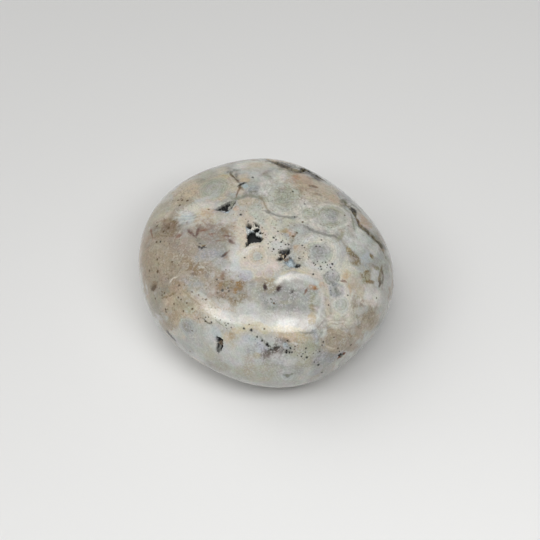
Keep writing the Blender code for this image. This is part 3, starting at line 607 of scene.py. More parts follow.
# Thin markings through two or more pixels: half width, colour, strength.
VEINS = (
    (((235, 199), (240, 197.5), (247, 196), (256, 196.3), (260.5, 198)), 1.6, "moss", 0.65),
    (((260, 197.5), (263.5, 201.5), (266, 206), (269, 212)), 0.9, "khaki", 0.7),
    (((267, 211.5), (271, 213), (276, 215.2), (284, 217), (296, 217.3)), 1.2, "slate", 0.7),
    (((231.5, 175), (235, 178.5), (238.5, 181.5)), 0.9, "bark", 0.85),
    (((240, 186.5), (239.5, 189.5), (237.5, 192), (236.5, 196)), 0.7, "umber", 0.85),
    (((239.5, 185.4), (242, 184), (244.5, 183)), 0.8, "night", 0.9),
    (((240, 187), (241.5, 188.5)), 1.4, "bark", 0.6), (((252, 192.3), (255.5, 191.8)), 0.9, "moss", 0.8),
    (((271, 161), (276, 162.5), (279, 164.5)), 1.2, "soot", 0.8),
    (((279, 164.6), (283, 166.3), (287.5, 167)), 1.5, "garnet", 0.9),
    (((281, 162.5), (286, 163.8), (291, 167)), 0.9, "soot", 0.7),
    (((280, 169), (286, 169.5), (291, 172)), 0.8, "moss", 0.6),
    (((288, 168.3), (294, 170.8), (300, 172.5)), 1.6, "loam", 0.9),
    # dark broken stone of the back seam, widened and blackened with painted shade of the crevice
    (((303.5, 169.3), (309, 172.4), (314, 175.4), (319, 178.2)), 3.0, "night", 1.0),
    (((318, 177.4), (323, 180.4)), 1.0, "bronze", 0.6),
    (((341, 201), (345, 202.5), (348, 206), (351, 208.5)), 1.3, "moss", 0.6),
    (((352, 209), (354.5, 211.3)), 1.5, "night", 1.0),
    (((355, 213), (356.5, 218), (358, 223), (361.5, 226.5)), 1.0, "loam", 0.85),
    (((357, 220), (360.5, 225), (363, 226.5)), 1.2, "rust", 0.6),
    (((362, 227.5), (367, 231.5), (372, 236), (377, 240.5), (383, 247)), 1.5, "loam", 0.8),
    (((376, 236), (381, 241), (385.5, 248)), 1.0, "slate", 0.5),
    (((352, 204), (357, 208), (361, 213)), 0.8, "slate", 0.6),
    (((344, 207), (350, 213), (353, 220), (354, 228)), 0.9, "moss", 0.5),
    (((308, 228), (314, 231), (322, 234), (333, 236), (339, 238.5)), 1.2, "slate", 0.7),
    (((338, 239), (341.5, 236), (342, 234)), 2.2, "lichen", 0.8),
    (((340, 239), (343.5, 243), (345, 247)), 1.4, "moss", 0.35),
    (((322, 210), (330, 209.3), (338, 211)), 0.7, "moss", 0.3),
    (((292.5, 240), (291.5, 244), (291.5, 250)), 1.2, "moss", 0.3),
    (((296, 233), (294.5, 237)), 1.0, "umber", 0.6),
    (((279.5, 280.3), (284.5, 277.4), (292, 276.3), (300, 276.2)), 2.9, "snow", 1.0),
    (((298, 276.5), (308, 279), (316, 282.5)), 2.2, "cloud", 0.8),
    (((282, 273.5), (288, 271), (297, 270), (308, 274)), 1.1, "butter", 0.6),
    (((170, 282), (172.5, 279.4), (175, 277.4)), 0.7, "ivory", 0.8),
    (((175.5, 277.3), (180, 274.5), (185, 270)), 0.7, "fawn", 0.35),
    (((189, 231), (192.5, 234), (194.5, 236.5)), 0.9, "oxblood", 0.75),
    (((199, 228.5), (197.5, 232), (196.3, 235.5)), 1.3, "oxblood", 0.8),
    (((201, 231), (206, 230)), 0.8, "rust", 0.85), (((210, 234.5), (214, 233.5)), 1.0, "rust", 0.6),
    (((222, 228.5), (225, 230.5), (228, 234)), 1.0, "umber", 0.7),
    (((226, 236), (230, 236.5)), 0.9, "oxblood", 0.7), (((177.5, 237), (180.5, 235)), 1.2, "rust", 0.8),
    (((216, 240.8), (221, 240)), 0.6, "rust", 0.5), (((229, 240.8), (232, 242.5)), 1.1, "oxblood", 0.75),
    (((222.8, 255.6), (225.2, 253.8)), 1.2, "garnet", 0.95),
    (((225.5, 253.5), (228.5, 251.2)), 0.8, "rust", 0.5),
    (((224.5, 258.2), (226.5, 257)), 1.0, "rust", 0.45), (((151, 230), (152, 236)), 0.9, "rust", 0.8),
    (((163, 221.5), (170, 220), (176, 222.5)), 1.3, "bronze", 0.45),
    (((174, 225), (174, 230), (171.5, 236)), 1.2, "bronze", 0.4),
    (((183, 259), (188, 258)), 0.7, "umber", 0.7),
    (((186, 270.5), (190, 269), (190.5, 265.5)), 1.0, "bronze", 0.75),
    (((195, 268.5), (197.5, 264.5)), 0.9, "bronze", 0.75),
    (((198, 270.5), (202.5, 269.5)), 1.1, "bronze", 0.7),
    (((198.3, 246.2), (201, 247.6), (204.3, 245.8)), 0.5, "night", 0.9),
    (((199.2, 243.6), (200.5, 243.6)), 0.5, "soot", 0.7),
    (((163, 298), (168, 296.5), (174, 293)), 1.0, "bronze", 0.55),
    (((176, 281.5), (183, 289), (190, 297), (200, 305)), 0.7, "camel", 0.6),
    (((265.3, 286), (265.3, 287.6)), 1.7, "garnet", 1.0),
    (((276.3, 290.6), (278.4, 288.9)), 1.9, "garnet", 1.0),
    (((291.3, 292.6), (293, 291.3)), 1.2, "garnet", 0.85),
    (((305.3, 292), (306.5, 289.7)), 1.2, "rust", 0.8),
    (((357, 316), (358, 324), (361, 330)), 0.8, "moss", 0.35),
    (((377, 327), (381, 322), (384, 315)), 1.0, "moss", 0.5),
    (((203, 319), (207, 321.5), (211, 323)), 0.7, "loam", 0.7),
    (((218, 322), (222, 325.5)), 0.8, "moss", 0.6),
    (((296, 330.5), (302, 332.3), (310, 332.6), (317, 329.5), (322.5, 322.5)), 0.7, "slate", 0.45),
    (((312, 333), (318, 332), (323, 327)), 0.7, "moss", 0.3),
    (((324, 327), (332, 323.5), (341, 323.7), (349, 329)), 0.6, "wheat", 0.7),
    (((329, 321.5), (337, 319.8), (346, 320.5)), 0.6, "wheat", 0.5),
    (((321, 333), (318.5, 340)), 0.9, "slate", 0.4),
    (((318, 284), (322, 292), (321.5, 305), (318, 318)), 1.2, "cloud", 0.6),
    (((326, 286), (328.5, 298), (328, 312)), 1.4, "cream", 0.6),
    (((293.5, 343.5), (296, 344)), 1.0, "pearl", 0.8),
    (((199, 200.5), (207, 198.5), (216, 195)), 1.6, "mist", 0.6),
    (((341, 243), (343.5, 251), (342, 262)), 1.8, "lilac", 0.5),
    # the next two veins are painted shade, darkening the brown hollow's pits
    (((280, 251.8), (283, 250), (288, 249.6), (289.3, 252)), 1.2, "soot", 0.85),
    (((279.2, 259.2), (282, 257.6)), 1.3, "night", 0.95),
    # painted shade along the front slit
    (((167.5, 332), (170.5, 335.5), (174, 339)), 0.8, "ink", 0.9),
    (((382, 270), (383.4, 276), (382.6, 284)), 0.7, "bark", 0.7),
    (((261, 338), (264.5, 342.5), (267.5, 346)), 0.9, "slate", 0.6),
    (((284, 374.5), (288, 375.2), (292.5, 374.5)), 0.8, "moss", 0.7),
)

# Small dark pits and grains: pixel across and down, and half width, by colour.
SPECKS = {
    "night": (
        (199.3, 247, 1.1), (201.6, 248.2, 1.3), (204, 247.2, 1.0), (240.8, 214.7, 1.3), (273.6, 237.5, 1.2),
        (276, 239.8, 0.9), (281.3, 242, 1.0), (285.5, 244.6, 0.8), (288.6, 244.6, 0.9), (273.8, 249.3, 0.9),
        (251.3, 330, 1.4), (257, 337, 1.1), (267, 344.5, 1.4), (268.4, 346, 1.1), (306.8, 357.3, 1.3),
        # the speck at 299 across and 265.8 down is painted shade, the black of a pit by the quartz hollow
        (318.4, 364.8, 1.3), (332.3, 264, 1.2), (160.5, 241.8, 1.0), (299, 265.8, 1.8), (286.3, 352.2, 1.3),
        (289.6, 352.2, 1.1), (291.8, 352.3, 0.8), (286.5, 350.3, 0.8), (290.3, 348, 0.9),
    ),
    "soot": (
        (206, 247.3, 0.6), (302.3, 245.4, 0.9), (300, 258.6, 0.8), (292.7, 191.4, 1.1), (294.4, 216.9, 0.8),
        (244.8, 257.5, 0.9), (262.3, 233.5, 0.9), (222.5, 290.3, 1.3), (217, 279.5, 1.0), (229, 291, 0.9),
        (228, 288, 0.8), (321.4, 269.2, 0.9), (327.6, 265, 0.8), (347.8, 295.3, 0.8), (328.5, 305, 0.8),
        (211.4, 322, 0.9), (244, 328.4, 1.1), (226, 325.2, 0.7), (228, 323.6, 0.8), (225, 323, 0.6),
        (262, 340.5, 1.0), (301.5, 356.3, 1.0), (313.4, 353.5, 0.7), (314.5, 362, 0.8), (321.8, 372.4, 1.0),
        (306, 348.3, 0.9), (319.8, 351.4, 0.7), (322, 345, 0.7), (323.2, 342, 0.8), (278.8, 252, 0.6),
        (287.5, 341, 0.8), (339.4, 351.3, 0.9), (278, 231.3, 0.8), (252.6, 177.2, 1.0), (313.3, 274.2, 0.9),
        (313.6, 263, 0.9), (315.6, 264.6, 0.8), (320.6, 266.4, 0.9), (325.6, 262.2, 0.7), (331, 267.8, 0.7),
        (322.4, 262.4, 0.6), (317.6, 261.6, 0.6), (318.6, 268.6, 0.6), (316, 246.3, 0.7), (320, 246.5, 0.7),
        (321.5, 240, 0.8), (248.3, 221.3, 0.8), (304.8, 204, 0.8), (292, 216.9, 0.6), (253.5, 177.8, 0.7),
    ),
    "bark": (
        (182.3, 200, 1.2), (179.6, 205.3, 1.2), (187.5, 200.5, 1.3), (178.3, 200.3, 0.9), (168.5, 228, 1.4),
        (163.6, 231.5, 1.2), (157, 226, 1.3), (156.5, 242, 1.2), (157.3, 259.3, 1.1), (157.6, 271.5, 1.5),
        (149.5, 270.7, 1.1), (164.5, 293, 0.8), (162, 295.3, 0.8), (155.3, 298.5, 1.1), (165.6, 309.5, 1.3),
        (166, 312, 1.0), (192.5, 308.8, 1.1), (174, 304, 0.9), (186.8, 303, 0.9), (192, 292, 0.9),
        (206, 299.4, 1.0), (198.5, 295, 0.8), (203, 298.8, 0.6), (192, 330.7, 0.7), (190, 351.4, 0.9),
        (179, 285.3, 1.1), (183.5, 311, 1.0), (178.3, 297.5, 1.0), (181, 299.5, 0.9), (172, 262, 1.1),
        (208.7, 209.5, 0.9), (297, 232.8, 1.0), (293, 236.3, 1.1), (302.8, 222, 1.0), (345, 215.3, 0.8),
        (338, 348.5, 1.0), (351, 345, 1.2), (274, 303.3, 1.0), (271, 299, 0.8), (376.5, 298, 0.8),
        (334, 337.5, 0.7), (249, 324.5, 0.7), (264.5, 329, 0.9), (223.4, 279, 0.8),
    ),
}

# Deep pits in the vugs' floors, painted black as their shade: corners in pixels, by vug.
PITS = {
    "long_wedge": (
        ((214.5, 209), (218, 207.8), (221, 206), (224.5, 204), (229.4, 201.6), (230, 204), (227.4, 206.8),
         (228.2, 210), (226, 210.6), (222.8, 209.4), (218, 209.6)),
        ((230.4, 207.6), (231.8, 206), (232.4, 207), (231.2, 208.4)),
        ((232.8, 204.4), (234, 202.2), (235.4, 201.6), (235.2, 203), (234, 204.6)),
    ),
    "black_star": (
        ((246.6, 236.6), (247.4, 234.2), (249.4, 232), (252, 230.6), (255.2, 231), (256.4, 234.2),
         (259.4, 235.6), (261.8, 236.8), (262.8, 239.2), (261, 241.4), (255.4, 241.8), (250.6, 242.4),
         (249, 244.6), (245.6, 246.6), (246, 243), (248, 240.2)),
        ((246, 225.2), (247.6, 222.8), (250.2, 222.8), (252, 225.2), (251.2, 227.6), (248.2, 228)),
        ((253.4, 222), (255.4, 221.6), (260, 224.8), (259.2, 226.8), (256, 225.4)),
        ((252.8, 229), (256, 227.4), (259.4, 227.2), (259, 229.8), (257, 231.4), (254.2, 231)),
        ((258.6, 231), (261.6, 231), (261.2, 233.6), (259.2, 233.2)),
    ),
    "brown_hollow": (
        ((279.8, 252.8), (281, 250), (284.5, 249.6), (287, 250.8), (289.4, 249), (290, 250.4),
         (289.4, 253.4), (287.5, 254.4), (285.5, 253.4), (282.6, 254.2)),
        ((284, 254.6), (286.4, 254), (286, 256.6), (284.7, 258.3), (283.9, 257.4)),
        ((279.2, 258.6), (280.8, 257), (282.6, 257.4), (283.4, 259), (281, 260.2)),
    ),
    "quartz_hollow": (
        ((294.4, 266.4), (297.3, 264.2), (298.4, 265.6), (297.4, 267.5)),
        ((289.2, 256.7), (291.4, 256.9), (291.2, 258.4), (289.7, 258.3)),
    ),
    "front_wedge": (
        ((216.2, 337), (218, 337.3), (222.9, 339.5), (222.9, 341.6), (219.6, 341), (217.8, 342.2),
         (216.5, 340)),
        ((217.2, 343.4), (218.5, 342.6), (218.2, 346), (217.3, 350.6), (217.6, 353.2), (216.7, 352.4),
         (216.5, 348)),
        ((221.2, 346), (222.9, 345.4), (222.1, 348.5), (220.6, 351), (220.1, 349.2)),
    ),
    "red_pit": (
        ((338.5, 355.3), (340.6, 353.8), (343, 354.3), (344.2, 355.2), (342.6, 357), (340.2, 357.2)),
    ),
}

# Crystals and stains inside the vugs, laid out as the patches are.
DRUSE = (
    (226, 205.5, 13, 7, 27, "smoke", 0.9, 0.6), (222, 211.8, 9, 1.6, -3, "steel", 0.9, 0.8),
    (227.5, 211.5, 3, 1.5, 20, "ice", 0.8, 0.8), (233, 203.5, 3.4, 4, 20, "moss", 0.7, 0.8),
    (218, 209, 4, 2, 32, "slate", 0.7, 0.8), (249.5, 230.5, 3.6, 3, 0, "frost", 0.95, 0.8),
    (259.5, 233, 4.4, 3.4, -35, "cloud", 0.95, 0.8), (253.8, 226.3, 3.2, 2.6, 0, "ivory", 0.95, 0.8),
    (257, 229.5, 2.4, 1.6, -20, "slate", 0.7, 0.9), (257, 224.5, 5, 3, -30, "ivory", 0.9, 0.8),
    (246.5, 234, 2, 5, 0, "cloud", 0.8, 0.8), (289.5, 263.8, 4.6, 3, -10, "ice", 0.95, 0.9),
    (296, 261, 3, 4, -40, "slate", 0.7, 0.9), (284, 255.5, 5, 6, 20, "umber", 0.95, 0.8),
    (283.6, 256.3, 1.3, 1.8, 20, "fawn", 0.9, 0.7), (219.5, 344, 6, 11, 5, "slate", 1.0, 0.4),
    (221, 343, 2.4, 3.4, 5, "bark", 0.9, 0.7), (343, 355, 8, 5, 20, "rust", 1.0, 0.4),
    (342.8, 354.2, 1.6, 1.0, 30, "oxblood", 0.8, 0.8),
)


# ---------------------------------------------------------------- form of the stone
def outline_radius(heading):
    """Radius of the plan outline at a heading, as a share of the plain oval."""
    radius = np.ones_like(heading)
    for lobes, height, start in OUTLINE_WAVES:
        radius += height * np.cos(lobes * (heading - math.radians(start)))
    return radius


def unit_vector(heading, elevation):
    """Unit vector from a heading and an elevation in degrees."""
    a = math.radians(heading)
    e = math.radians(elevation)
    return np.array((math.cos(a) * math.cos(e), math.sin(a) * math.cos(e), math.sin(e)))


def stone_surface(directions):
    """Points of the polished form, in millimetres, for unit vectors from its middle."""
    across = np.hypot(directions[:, 0], directions[:, 1])
    outline = outline_radius(np.arctan2(directions[:, 1], directions[:, 0]))
    above = directions[:, 2] > 0.0
    fullness = np.where(above, DOME_FULLNESS, BELLY_FULLNESS)
    height = np.where(above, DOME_HEIGHT, BELLY_DEPTH)
    reach = (across**fullness + np.abs(directions[:, 2])**fullness)**(-1.0 / fullness)

    flat = unit_vector(WORN_FLAT_HEADING, WORN_FLAT_ELEVATION)
    from_flat = np.arccos(np.clip(directions @ flat, -1.0, 1.0))
    reach *= 1.0 - WORN_FLAT_DEPTH * np.exp(-(from_flat / math.radians(WORN_FLAT_SPREAD))**2)

    x = CENTRE_X + LENGTH / 2 * directions[:, 0] * outline * reach
    y = CENTRE_Y + WIDTH / 2 * directions[:, 1] * outline * reach
    z = RIM_HEIGHT + height * directions[:, 2] * reach
    return np.stack((x, y, np.maximum(z, 0.0)), axis=1)


def direction_to(points):
    """Unit vectors whose surface points lie under the given points near the surface."""
    points = np.atleast_2d(points)
    x = (points[:, 0] - CENTRE_X) / (LENGTH / 2)
    y = (points[:, 1] - CENTRE_Y) / (WIDTH / 2)
    z = points[:, 2] - RIM_HEIGHT
    z = z / np.where(z > 0.0, DOME_HEIGHT, BELLY_DEPTH)
    outline = outline_radius(np.arctan2(y, x))
    directions = np.stack((x / outline, y / outline, z), axis=1)
    return directions / np.linalg.norm(directions, axis=1, keepdims=True)


def tangent_frame(seat):
    """The surface point at a seat, with its east, north and outward directions."""
    direction = direction_to(seat)[0]
    side = np.cross((0.0, 0.0, 1.0), direction)
    side /= np.linalg.norm(side)
    rise = np.cross(direction, side)
    around = np.array((direction, direction + TANGENT_STEP * side, direction + TANGENT_STEP * rise))
    around /= np.linalg.norm(around, axis=1, keepdims=True)
    point, beside, above = stone_surface(around)
    outward = np.cross(beside - point, above - point)
    outward /= np.linalg.norm(outward)
    east = np.array((1.0, 0.0, 0.0)) - outward * outward[0]
    if np.linalg.norm(east) < SHORTEST_EAST:
        east = np.array((0.0, 1.0, 0.0)) - outward * outward[1]
    east /= np.linalg.norm(east)
    return point, east, np.cross(outward, east), outward


def smooth_step(values):
    """Smooth ramp from 0 to 1."""
    values = np.clip(values, 0.0, 1.0)
    return values * values * (3.0 - 2.0 * values)


def broken_stone(points):
    """Rough height between -1 and 1 at each point: bent waves along three slanted axes."""
    height = np.zeros(len(points))
    for length, share, axis, other in BROKEN_WAVES:
        bend = BEND_ANGLE * np.sin(points @ unit_vector(*other) * math.tau / (BEND_LENGTH * length))
        height += share * np.sin(points @ unit_vector(*axis) * math.tau / length + bend)
    return height


# ---------------------------------------------------------------- hollows
def distance_inside(points, corners):
    """Distance of 2-D points to a closed outline, positive inside it."""
    nearest = np.full(len(points), np.inf)
    inside = np.zeros(len(points), dtype=bool)
    for start, end in zip(corners, np.roll(corners, -1, axis=0)):
        edge = end - start
        offset = points - start
        along = np.clip(offset @ edge / (edge @ edge), 0.0, 1.0)
        nearest = np.minimum(nearest, np.linalg.norm(offset - along[:, None] * edge, axis=1))
        crosses = (start[1] > points[:, 1]) != (end[1] > points[:, 1])
        rise = edge[1] if edge[1] else 1.0
        crossing_x = start[0] + edge[0] * (points[:, 1] - start[1]) / rise
        inside ^= crosses & (points[:, 0] < crossing_x)
    return np.where(inside, nearest, -nearest)


def crystal_height(flat, vug, seed):
    """Height of a crust of small pointed crystals at 2-D points over a vug's floor."""
    tall, wide = vug["crystals"]
    corners = np.array(vug["mouth"])
    low = corners.min(axis=0)
    size = corners.max(axis=0) - low
    rng = np.random.default_rng(seed)
    count = int(size[0] * size[1] / CRYSTAL_SPACING**2)
    height = np.zeros(len(flat))
    for _ in range(count):
        offset = flat - (low + size * rng.random(2))
        turn = rng.uniform(0.0, math.pi / 3)
        lean = rng.uniform(-CRYSTAL_LEAN, CRYSTAL_LEAN, 2)
        reach = np.zeros(len(flat))
        for side in range(3):
            angle = turn + side * math.pi / 3
            reach = np.maximum(reach, np.abs(offset @ (math.cos(angle), math.sin(angle))))
        share = rng.uniform(*CRYSTAL_SIZES)
        point = tall * share * (1.0 - reach / (wide * share)) + offset @ lean * tall
        height = np.maximum(height, np.where(reach < wide * share, point, 0.0))
    return height


def vug_depth(points, vug, seed):
    """Depth of one vug's floor at each surface point, and distance outside its mouth."""
    seat, east, north, outward = tangent_frame(vug["seat"])
    offset = points - seat
    flat = np.stack((offset @ east, offset @ north), axis=1)
    inside = distance_inside(flat, np.array(vug["mouth"]))
    inside += VUG_RAGGEDNESS * broken_stone(points * VUG_RAGGED_SCALE)
    same_side = np.abs(offset @ outward) < MOUTH_REACH
    depth = np.zeros(len(points))
    near = same_side & (inside > 0.0)
    floor = vug["floor"] - crystal_height(flat[near], vug, seed)
    depth[near] = smooth_step(inside[near] / VUG_WALL) * floor
    return depth, np.where(same_side, -inside, np.inf)


def pit_share(points, name, corners, seats):
    """How far each surface point is down the wall of a pit, from 0 at its edge to 1."""
    seat, east, north, _ = tangent_frame(VUGS[name]["seat"])
    corners = np.array([seats.point(x, y)[0] for x, y in corners]) - seat
    outline = np.stack((corners @ east, corners @ north), axis=1)
    offset = points - seat
    near = np.linalg.norm(offset, axis=1) < PIT_REACH
    flat = np.stack((offset[near] @ east, offset[near] @ north), axis=1)
    inside = distance_inside(flat, outline)
    inside += PIT_RAGGEDNESS * broken_stone(points[near] * PIT_RAGGED_SCALE)
    share = np.zeros(len(points))
    share[near] = smooth_step(inside / PIT_WALL + 0.5)
    return share


def groove_depth(points, route):
    """Depth of a groove at each surface point, and each point's distance from its edge."""
    route = np.array(route)
    stations = stone_surface(direction_to(route[:, :3]))
    depth = np.zeros(len(points))
    nearest = np.full(len(points), np.inf)
    for i in range(len(route) - 1):
        run = stations[i + 1] - stations[i]
        offset = points - stations[i]
        along = np.clip(offset @ run / (run @ run), 0.0, 1.0)
        distance = np.linalg.norm(offset - along[:, None] * run, axis=1)
        half_width = route[i, 3] + along * (route[i + 1, 3] - route[i, 3])
        full_depth = route[i, 4] + along * (route[i + 1, 4] - route[i, 4])
        depth = np.maximum(depth, full_depth * smooth_step(1.0 - distance / half_width))
        nearest = np.minimum(nearest, distance - half_width)
    return depth, nearest


def deepest(measured):
    """The greatest depth and the least distance of several hollows at each point."""
    depths, distances = zip(*measured)
    return np.max(depths, axis=0), np.min(distances, axis=0)


def all_vugs(points):
    """Depth of the vugs' floors at each point, and distance outside the nearest mouth."""
    return deepest([vug_depth(points, vug, seed) for seed, vug in enumerate(VUGS.values())])


def all_grooves(points):
    """Depth of the grooves at each point, and distance from the nearest edge."""
    return deepest([groove_depth(points, route) for route in (BACK_SEAM, FRONT_SLIT)])


def all_pits(points, seats):
    """Share and depth of the pits at each point."""
    share = np.zeros(len(points))
    depth = np.zeros(len(points))
    for name, pits in PITS.items():
        for corners in pits:
            down = pit_share(points, name, corners, seats)
            share = np.maximum(share, down)
            depth = np.maximum(depth, down * VUGS[name]["depth"])
    return share, depth


# ---------------------------------------------------------------- mesh
def refine(mesh, measure, reach):
    """Split every face whose middle is within reach of the hollows that measure knows."""
    middles = np.array([face.calc_center_median() for face in mesh.faces])
    middles /= np.linalg.norm(middles, axis=1, keepdims=True)
    _, nearest = measure(stone_surface(middles))
    mesh.faces.ensure_lookup_table()
    edges = set()
    for index in np.nonzero(nearest < reach)[0]:
        edges.update(mesh.faces[index].edges)
    bmesh.ops.subdivide_edges(mesh, edges=list(edges), cuts=1, use_grid_fill=True)
    bmesh.ops.triangulate(mesh, faces=[face for face in mesh.faces if len(face.verts) > 3])


def fine_sphere():
    """Mesh of a sphere with its finest faces where the hollows are to be."""
    mesh = bmesh.new()
    bmesh.ops.create_icosphere(mesh, subdivisions=SPHERE_SUBDIVISIONS, radius=1.0)
    for reach in GROOVE_REACHES:
        refine(mesh, all_grooves, reach)
    for reach in VUG_REACHES:
        refine(mesh, all_vugs, reach)
    data = bpy.data.meshes.new("jasper")
    mesh.to_mesh(data)
    mesh.free()
    return data


def read_vectors(data, field):
    """The places or the normals of a mesh's vertices."""
    values = np.zeros(len(data.vertices) * 3, dtype=np.float32)
    data.vertices.foreach_get(field, values)
    return values.reshape(-1, 3)


def move_vertices(data, points):
    """Set the places of a mesh's vertices."""
    data.vertices.foreach_set("co", points.astype(np.float32).ravel())
    data.update()


def add_attribute(data, name, values):
    """Store a number or a vector for each vertex, for the material to read."""
    kind, field = ("FLOAT", "value") if values.ndim == 1 else ("FLOAT_VECTOR", "vector")
    attribute = data.attributes.new(name, kind, "POINT")
    attribute.data.foreach_set(field, values.astype(np.float32).ravel())


def stone_mesh(view):
    """The fine mesh of the stone, in metres, and the seats of its markings."""
    data = fine_sphere()
    directions = read_vectors(data, "co").astype(float)
    directions /= np.linalg.norm(directions, axis=1, keepdims=True)
    points = stone_surface(directions)
    move_vertices(data, points)
    faces = [tuple(face.vertices) for face in data.polygons]
    seats = Seats(view, BVHTree.FromPolygons(points.tolist(), faces))
    normals = read_vectors(data, "normal")

    vugs, outside = all_vugs(points)
    grooves, _ = all_grooves(points)
    pits, pit_depths = all_pits(points, seats)
    rough = SEAM_ROUGHNESS * smooth_step(grooves / SEAM_LIP) * broken_stone(points)
    depth = np.maximum.reduce((vugs, pit_depths, grooves + rough, np.zeros(len(points))))
    add_attribute(data, "skin", points)
    add_attribute(data, "vug", smooth_step(0.5 - outside / VUG_WALL))
    add_attribute(data, "pit", pits)
    add_attribute(data, "groove", grooves)
    move_vertices(data, (points - normals * depth[:, None]) * METRES_PER_MM)
    data.shade_smooth()
    return data, seats


# ---------------------------------------------------------------- places of the markings
class View:
    """The camera's place, its axes, and the ray behind each pixel of the frame."""

    def __init__(self):
        a = math.radians(VIEW_AZIMUTH)
        e = math.radians(VIEW_ELEVATION)
        self.back = Vector((math.sin(a) * math.cos(e), -math.cos(a) * math.cos(e), math.sin(e)))
        self.right = Vector((math.cos(a), math.sin(a), 0.0))
        self.toward = Vector((math.sin(a), -math.cos(a), 0.0))
        self.up = self.back.cross(self.right)
        middle = Vector((CENTRE_X, CENTRE_Y, AIM_HEIGHT))
        self.aim = middle + AIM_RIGHT * self.right + AIM_UP * self.up
        self.place = self.aim + VIEW_DISTANCE * self.back

    def ray(self, x, y):
        """Direction from the camera through a pixel."""
        half = FRAME_PIXELS / 2
        side = self.right * (x - half) + self.up * (half - y)
        return (side * MM_PER_PIXEL - self.back * VIEW_DISTANCE).normalized()


class Seats:
    """Finds where a marking seen at a pixel sits on the stone."""

    def __init__(self, view, tree):
        self.view = view
        self.tree = tree

    def point(self, x, y):
        """Surface point and normal behind a pixel, in millimetres."""
        place, normal, _, _ = self.tree.ray_cast(self.view.place, self.view.ray(x, y))
        if place is None:
            raise ValueError(f"pixel {x}, {y} is off the stone")
        return place, normal

    def ellipse(self, x, y, wide, tall, tilt):
        """Location, rotation and radii of an ellipse on the surface, seen as the one in pixels."""
        place, normal = self.point(x, y)
        ray = self.view.ray(x, y)
        facing = max(-ray.dot(normal), STEEPEST_SLANT)
        t = math.radians(tilt)
        half_axes = (wide * math.cos(t), wide * math.sin(t)), (-tall * math.sin(t), tall * math.cos(t))
        columns = []
        for across, up in half_axes:
            side = (self.view.right * across + self.view.up * up) * MM_PER_PIXEL
            columns.append(side + ray * side.dot(normal) / facing)
        axes, radii, _ = np.linalg.svd(np.array(columns).T, full_matrices=False)
        first = Vector(axes[:, 0])
        second = Vector(axes[:, 1])
        turn = turned(first, second, first.cross(second)).to_euler()
        return place, turn, (radii[0], radii[1], max(radii[0], LEAST_REACH))


def turned(x, y, z):
    """The rotation that turns the axes to three directions."""
    return Matrix((x, y, z)).transposed()


# ---------------------------------------------------------------- nodes
def linear(name):
    """A palette colour in linear light, with alpha."""
    shares = [value / 255 for value in COLOURS[name]]
    return (*(s / 12.92 if s <= 0.04045 else ((s + 0.055) / 1.055)**2.4 for s in shares), 1.0)


class Graph:
    """Short calls for building the nodes of one tree."""

    def __init__(self, tree):
        self.tree = tree

    def give(self, socket, value):
        """Set a socket, or link it where the value is another node's output."""
        if isinstance(value, bpy.types.NodeSocket):
            self.tree.links.new(value, socket)
        else:
            socket.default_value = value

    def node(self, kind, values=(), **settings):
        """A new node with its settings, and its sockets set or linked by name or number."""
        node = self.tree.nodes.new(kind)
        for name, value in settings.items():
            setattr(node, name, value)
        for key, value in dict(values).items():
            self.give(node.inputs[key], value)
        return node

    def math(self, operation, *values):
        """A sum, product or other operation on numbers."""
        return self.node("ShaderNodeMath", enumerate(values), operation=operation).outputs[0]

    def vector(self, operation, *values):
        """An operation on vectors or colours."""
        node = self.node("ShaderNodeVectorMath", enumerate(values), operation=operation)
        return node.outputs["Value" if operation in ("LENGTH", "DISTANCE", "DOT_PRODUCT") else "Vector"]

    def scale(self, colour, share):
        """A colour made brighter or darker."""
        return self.node("ShaderNodeVectorMath", {0: colour, 3: share}, operation="SCALE").outputs[0]

    def ramp(self, value, start, end, low=0.0, high=1.0):
        """A smooth ramp from low to high, between the values start and end."""
        values = {"Value": value, "From Min": start, "From Max": end, "To Min": low, "To Max": high}
        return self.node("ShaderNodeMapRange", values, interpolation_type="SMOOTHSTEP").outputs["Result"]

    def mix(self, factor, below, above):
        """A colour between two."""
        return self.node("ShaderNodeMix", {0: factor, 6: below, 7: above}, data_type="RGBA").outputs[2]

    def noise(self, place, size, detail, roughness):
        """Noise whose lumps are about size millimetres across: its value and its colour."""
        values = {"Vector": place, "Scale": 1.0 / size, "Detail": detail, "Roughness": roughness}
        node = self.node("ShaderNodeTexNoise", values)
        return node.outputs[0], node.outputs[1]

    def cells(self, place, spacing, shuffle):
        """Scattered points: the distance to the nearest, and a random share for each."""
        values = {"Vector": place, "Scale": 1.0 / spacing}
        outputs = self.node("ShaderNodeTexVoronoi", values).outputs
        return outputs["Distance"], self.math("FRACT", self.math("MULTIPLY", outputs["Color"], shuffle))

    def attribute(self, name, output):
        """What the mesh stores under a name."""
        return self.node("ShaderNodeAttribute", attribute_name=name).outputs[output]

    def parts(self, vector):
        """The X, Y and Z of a vector."""
        return self.node("ShaderNodeSeparateXYZ", {0: vector}).outputs


FLOAT, VECTOR, COLOUR = "NodeSocketFloat", "NodeSocketVector", "NodeSocketColor"
SPOT_INPUTS = [("Place", VECTOR), ("Middle", VECTOR), ("Turn", VECTOR), ("Radii", VECTOR)]
PATCH_INPUTS = SPOT_INPUTS + [
    ("Ragged", FLOAT), ("Edge", FLOAT), ("Strength", FLOAT), ("Texture", FLOAT),
    ("Below", COLOUR), ("Paint", COLOUR),
]
STROKE_INPUTS = [("Nearest", FLOAT)] + SPOT_INPUTS
SPECK_INPUTS = [("Nearest", FLOAT), ("Place", VECTOR), ("Middle", VECTOR), ("Sharpness", FLOAT)]


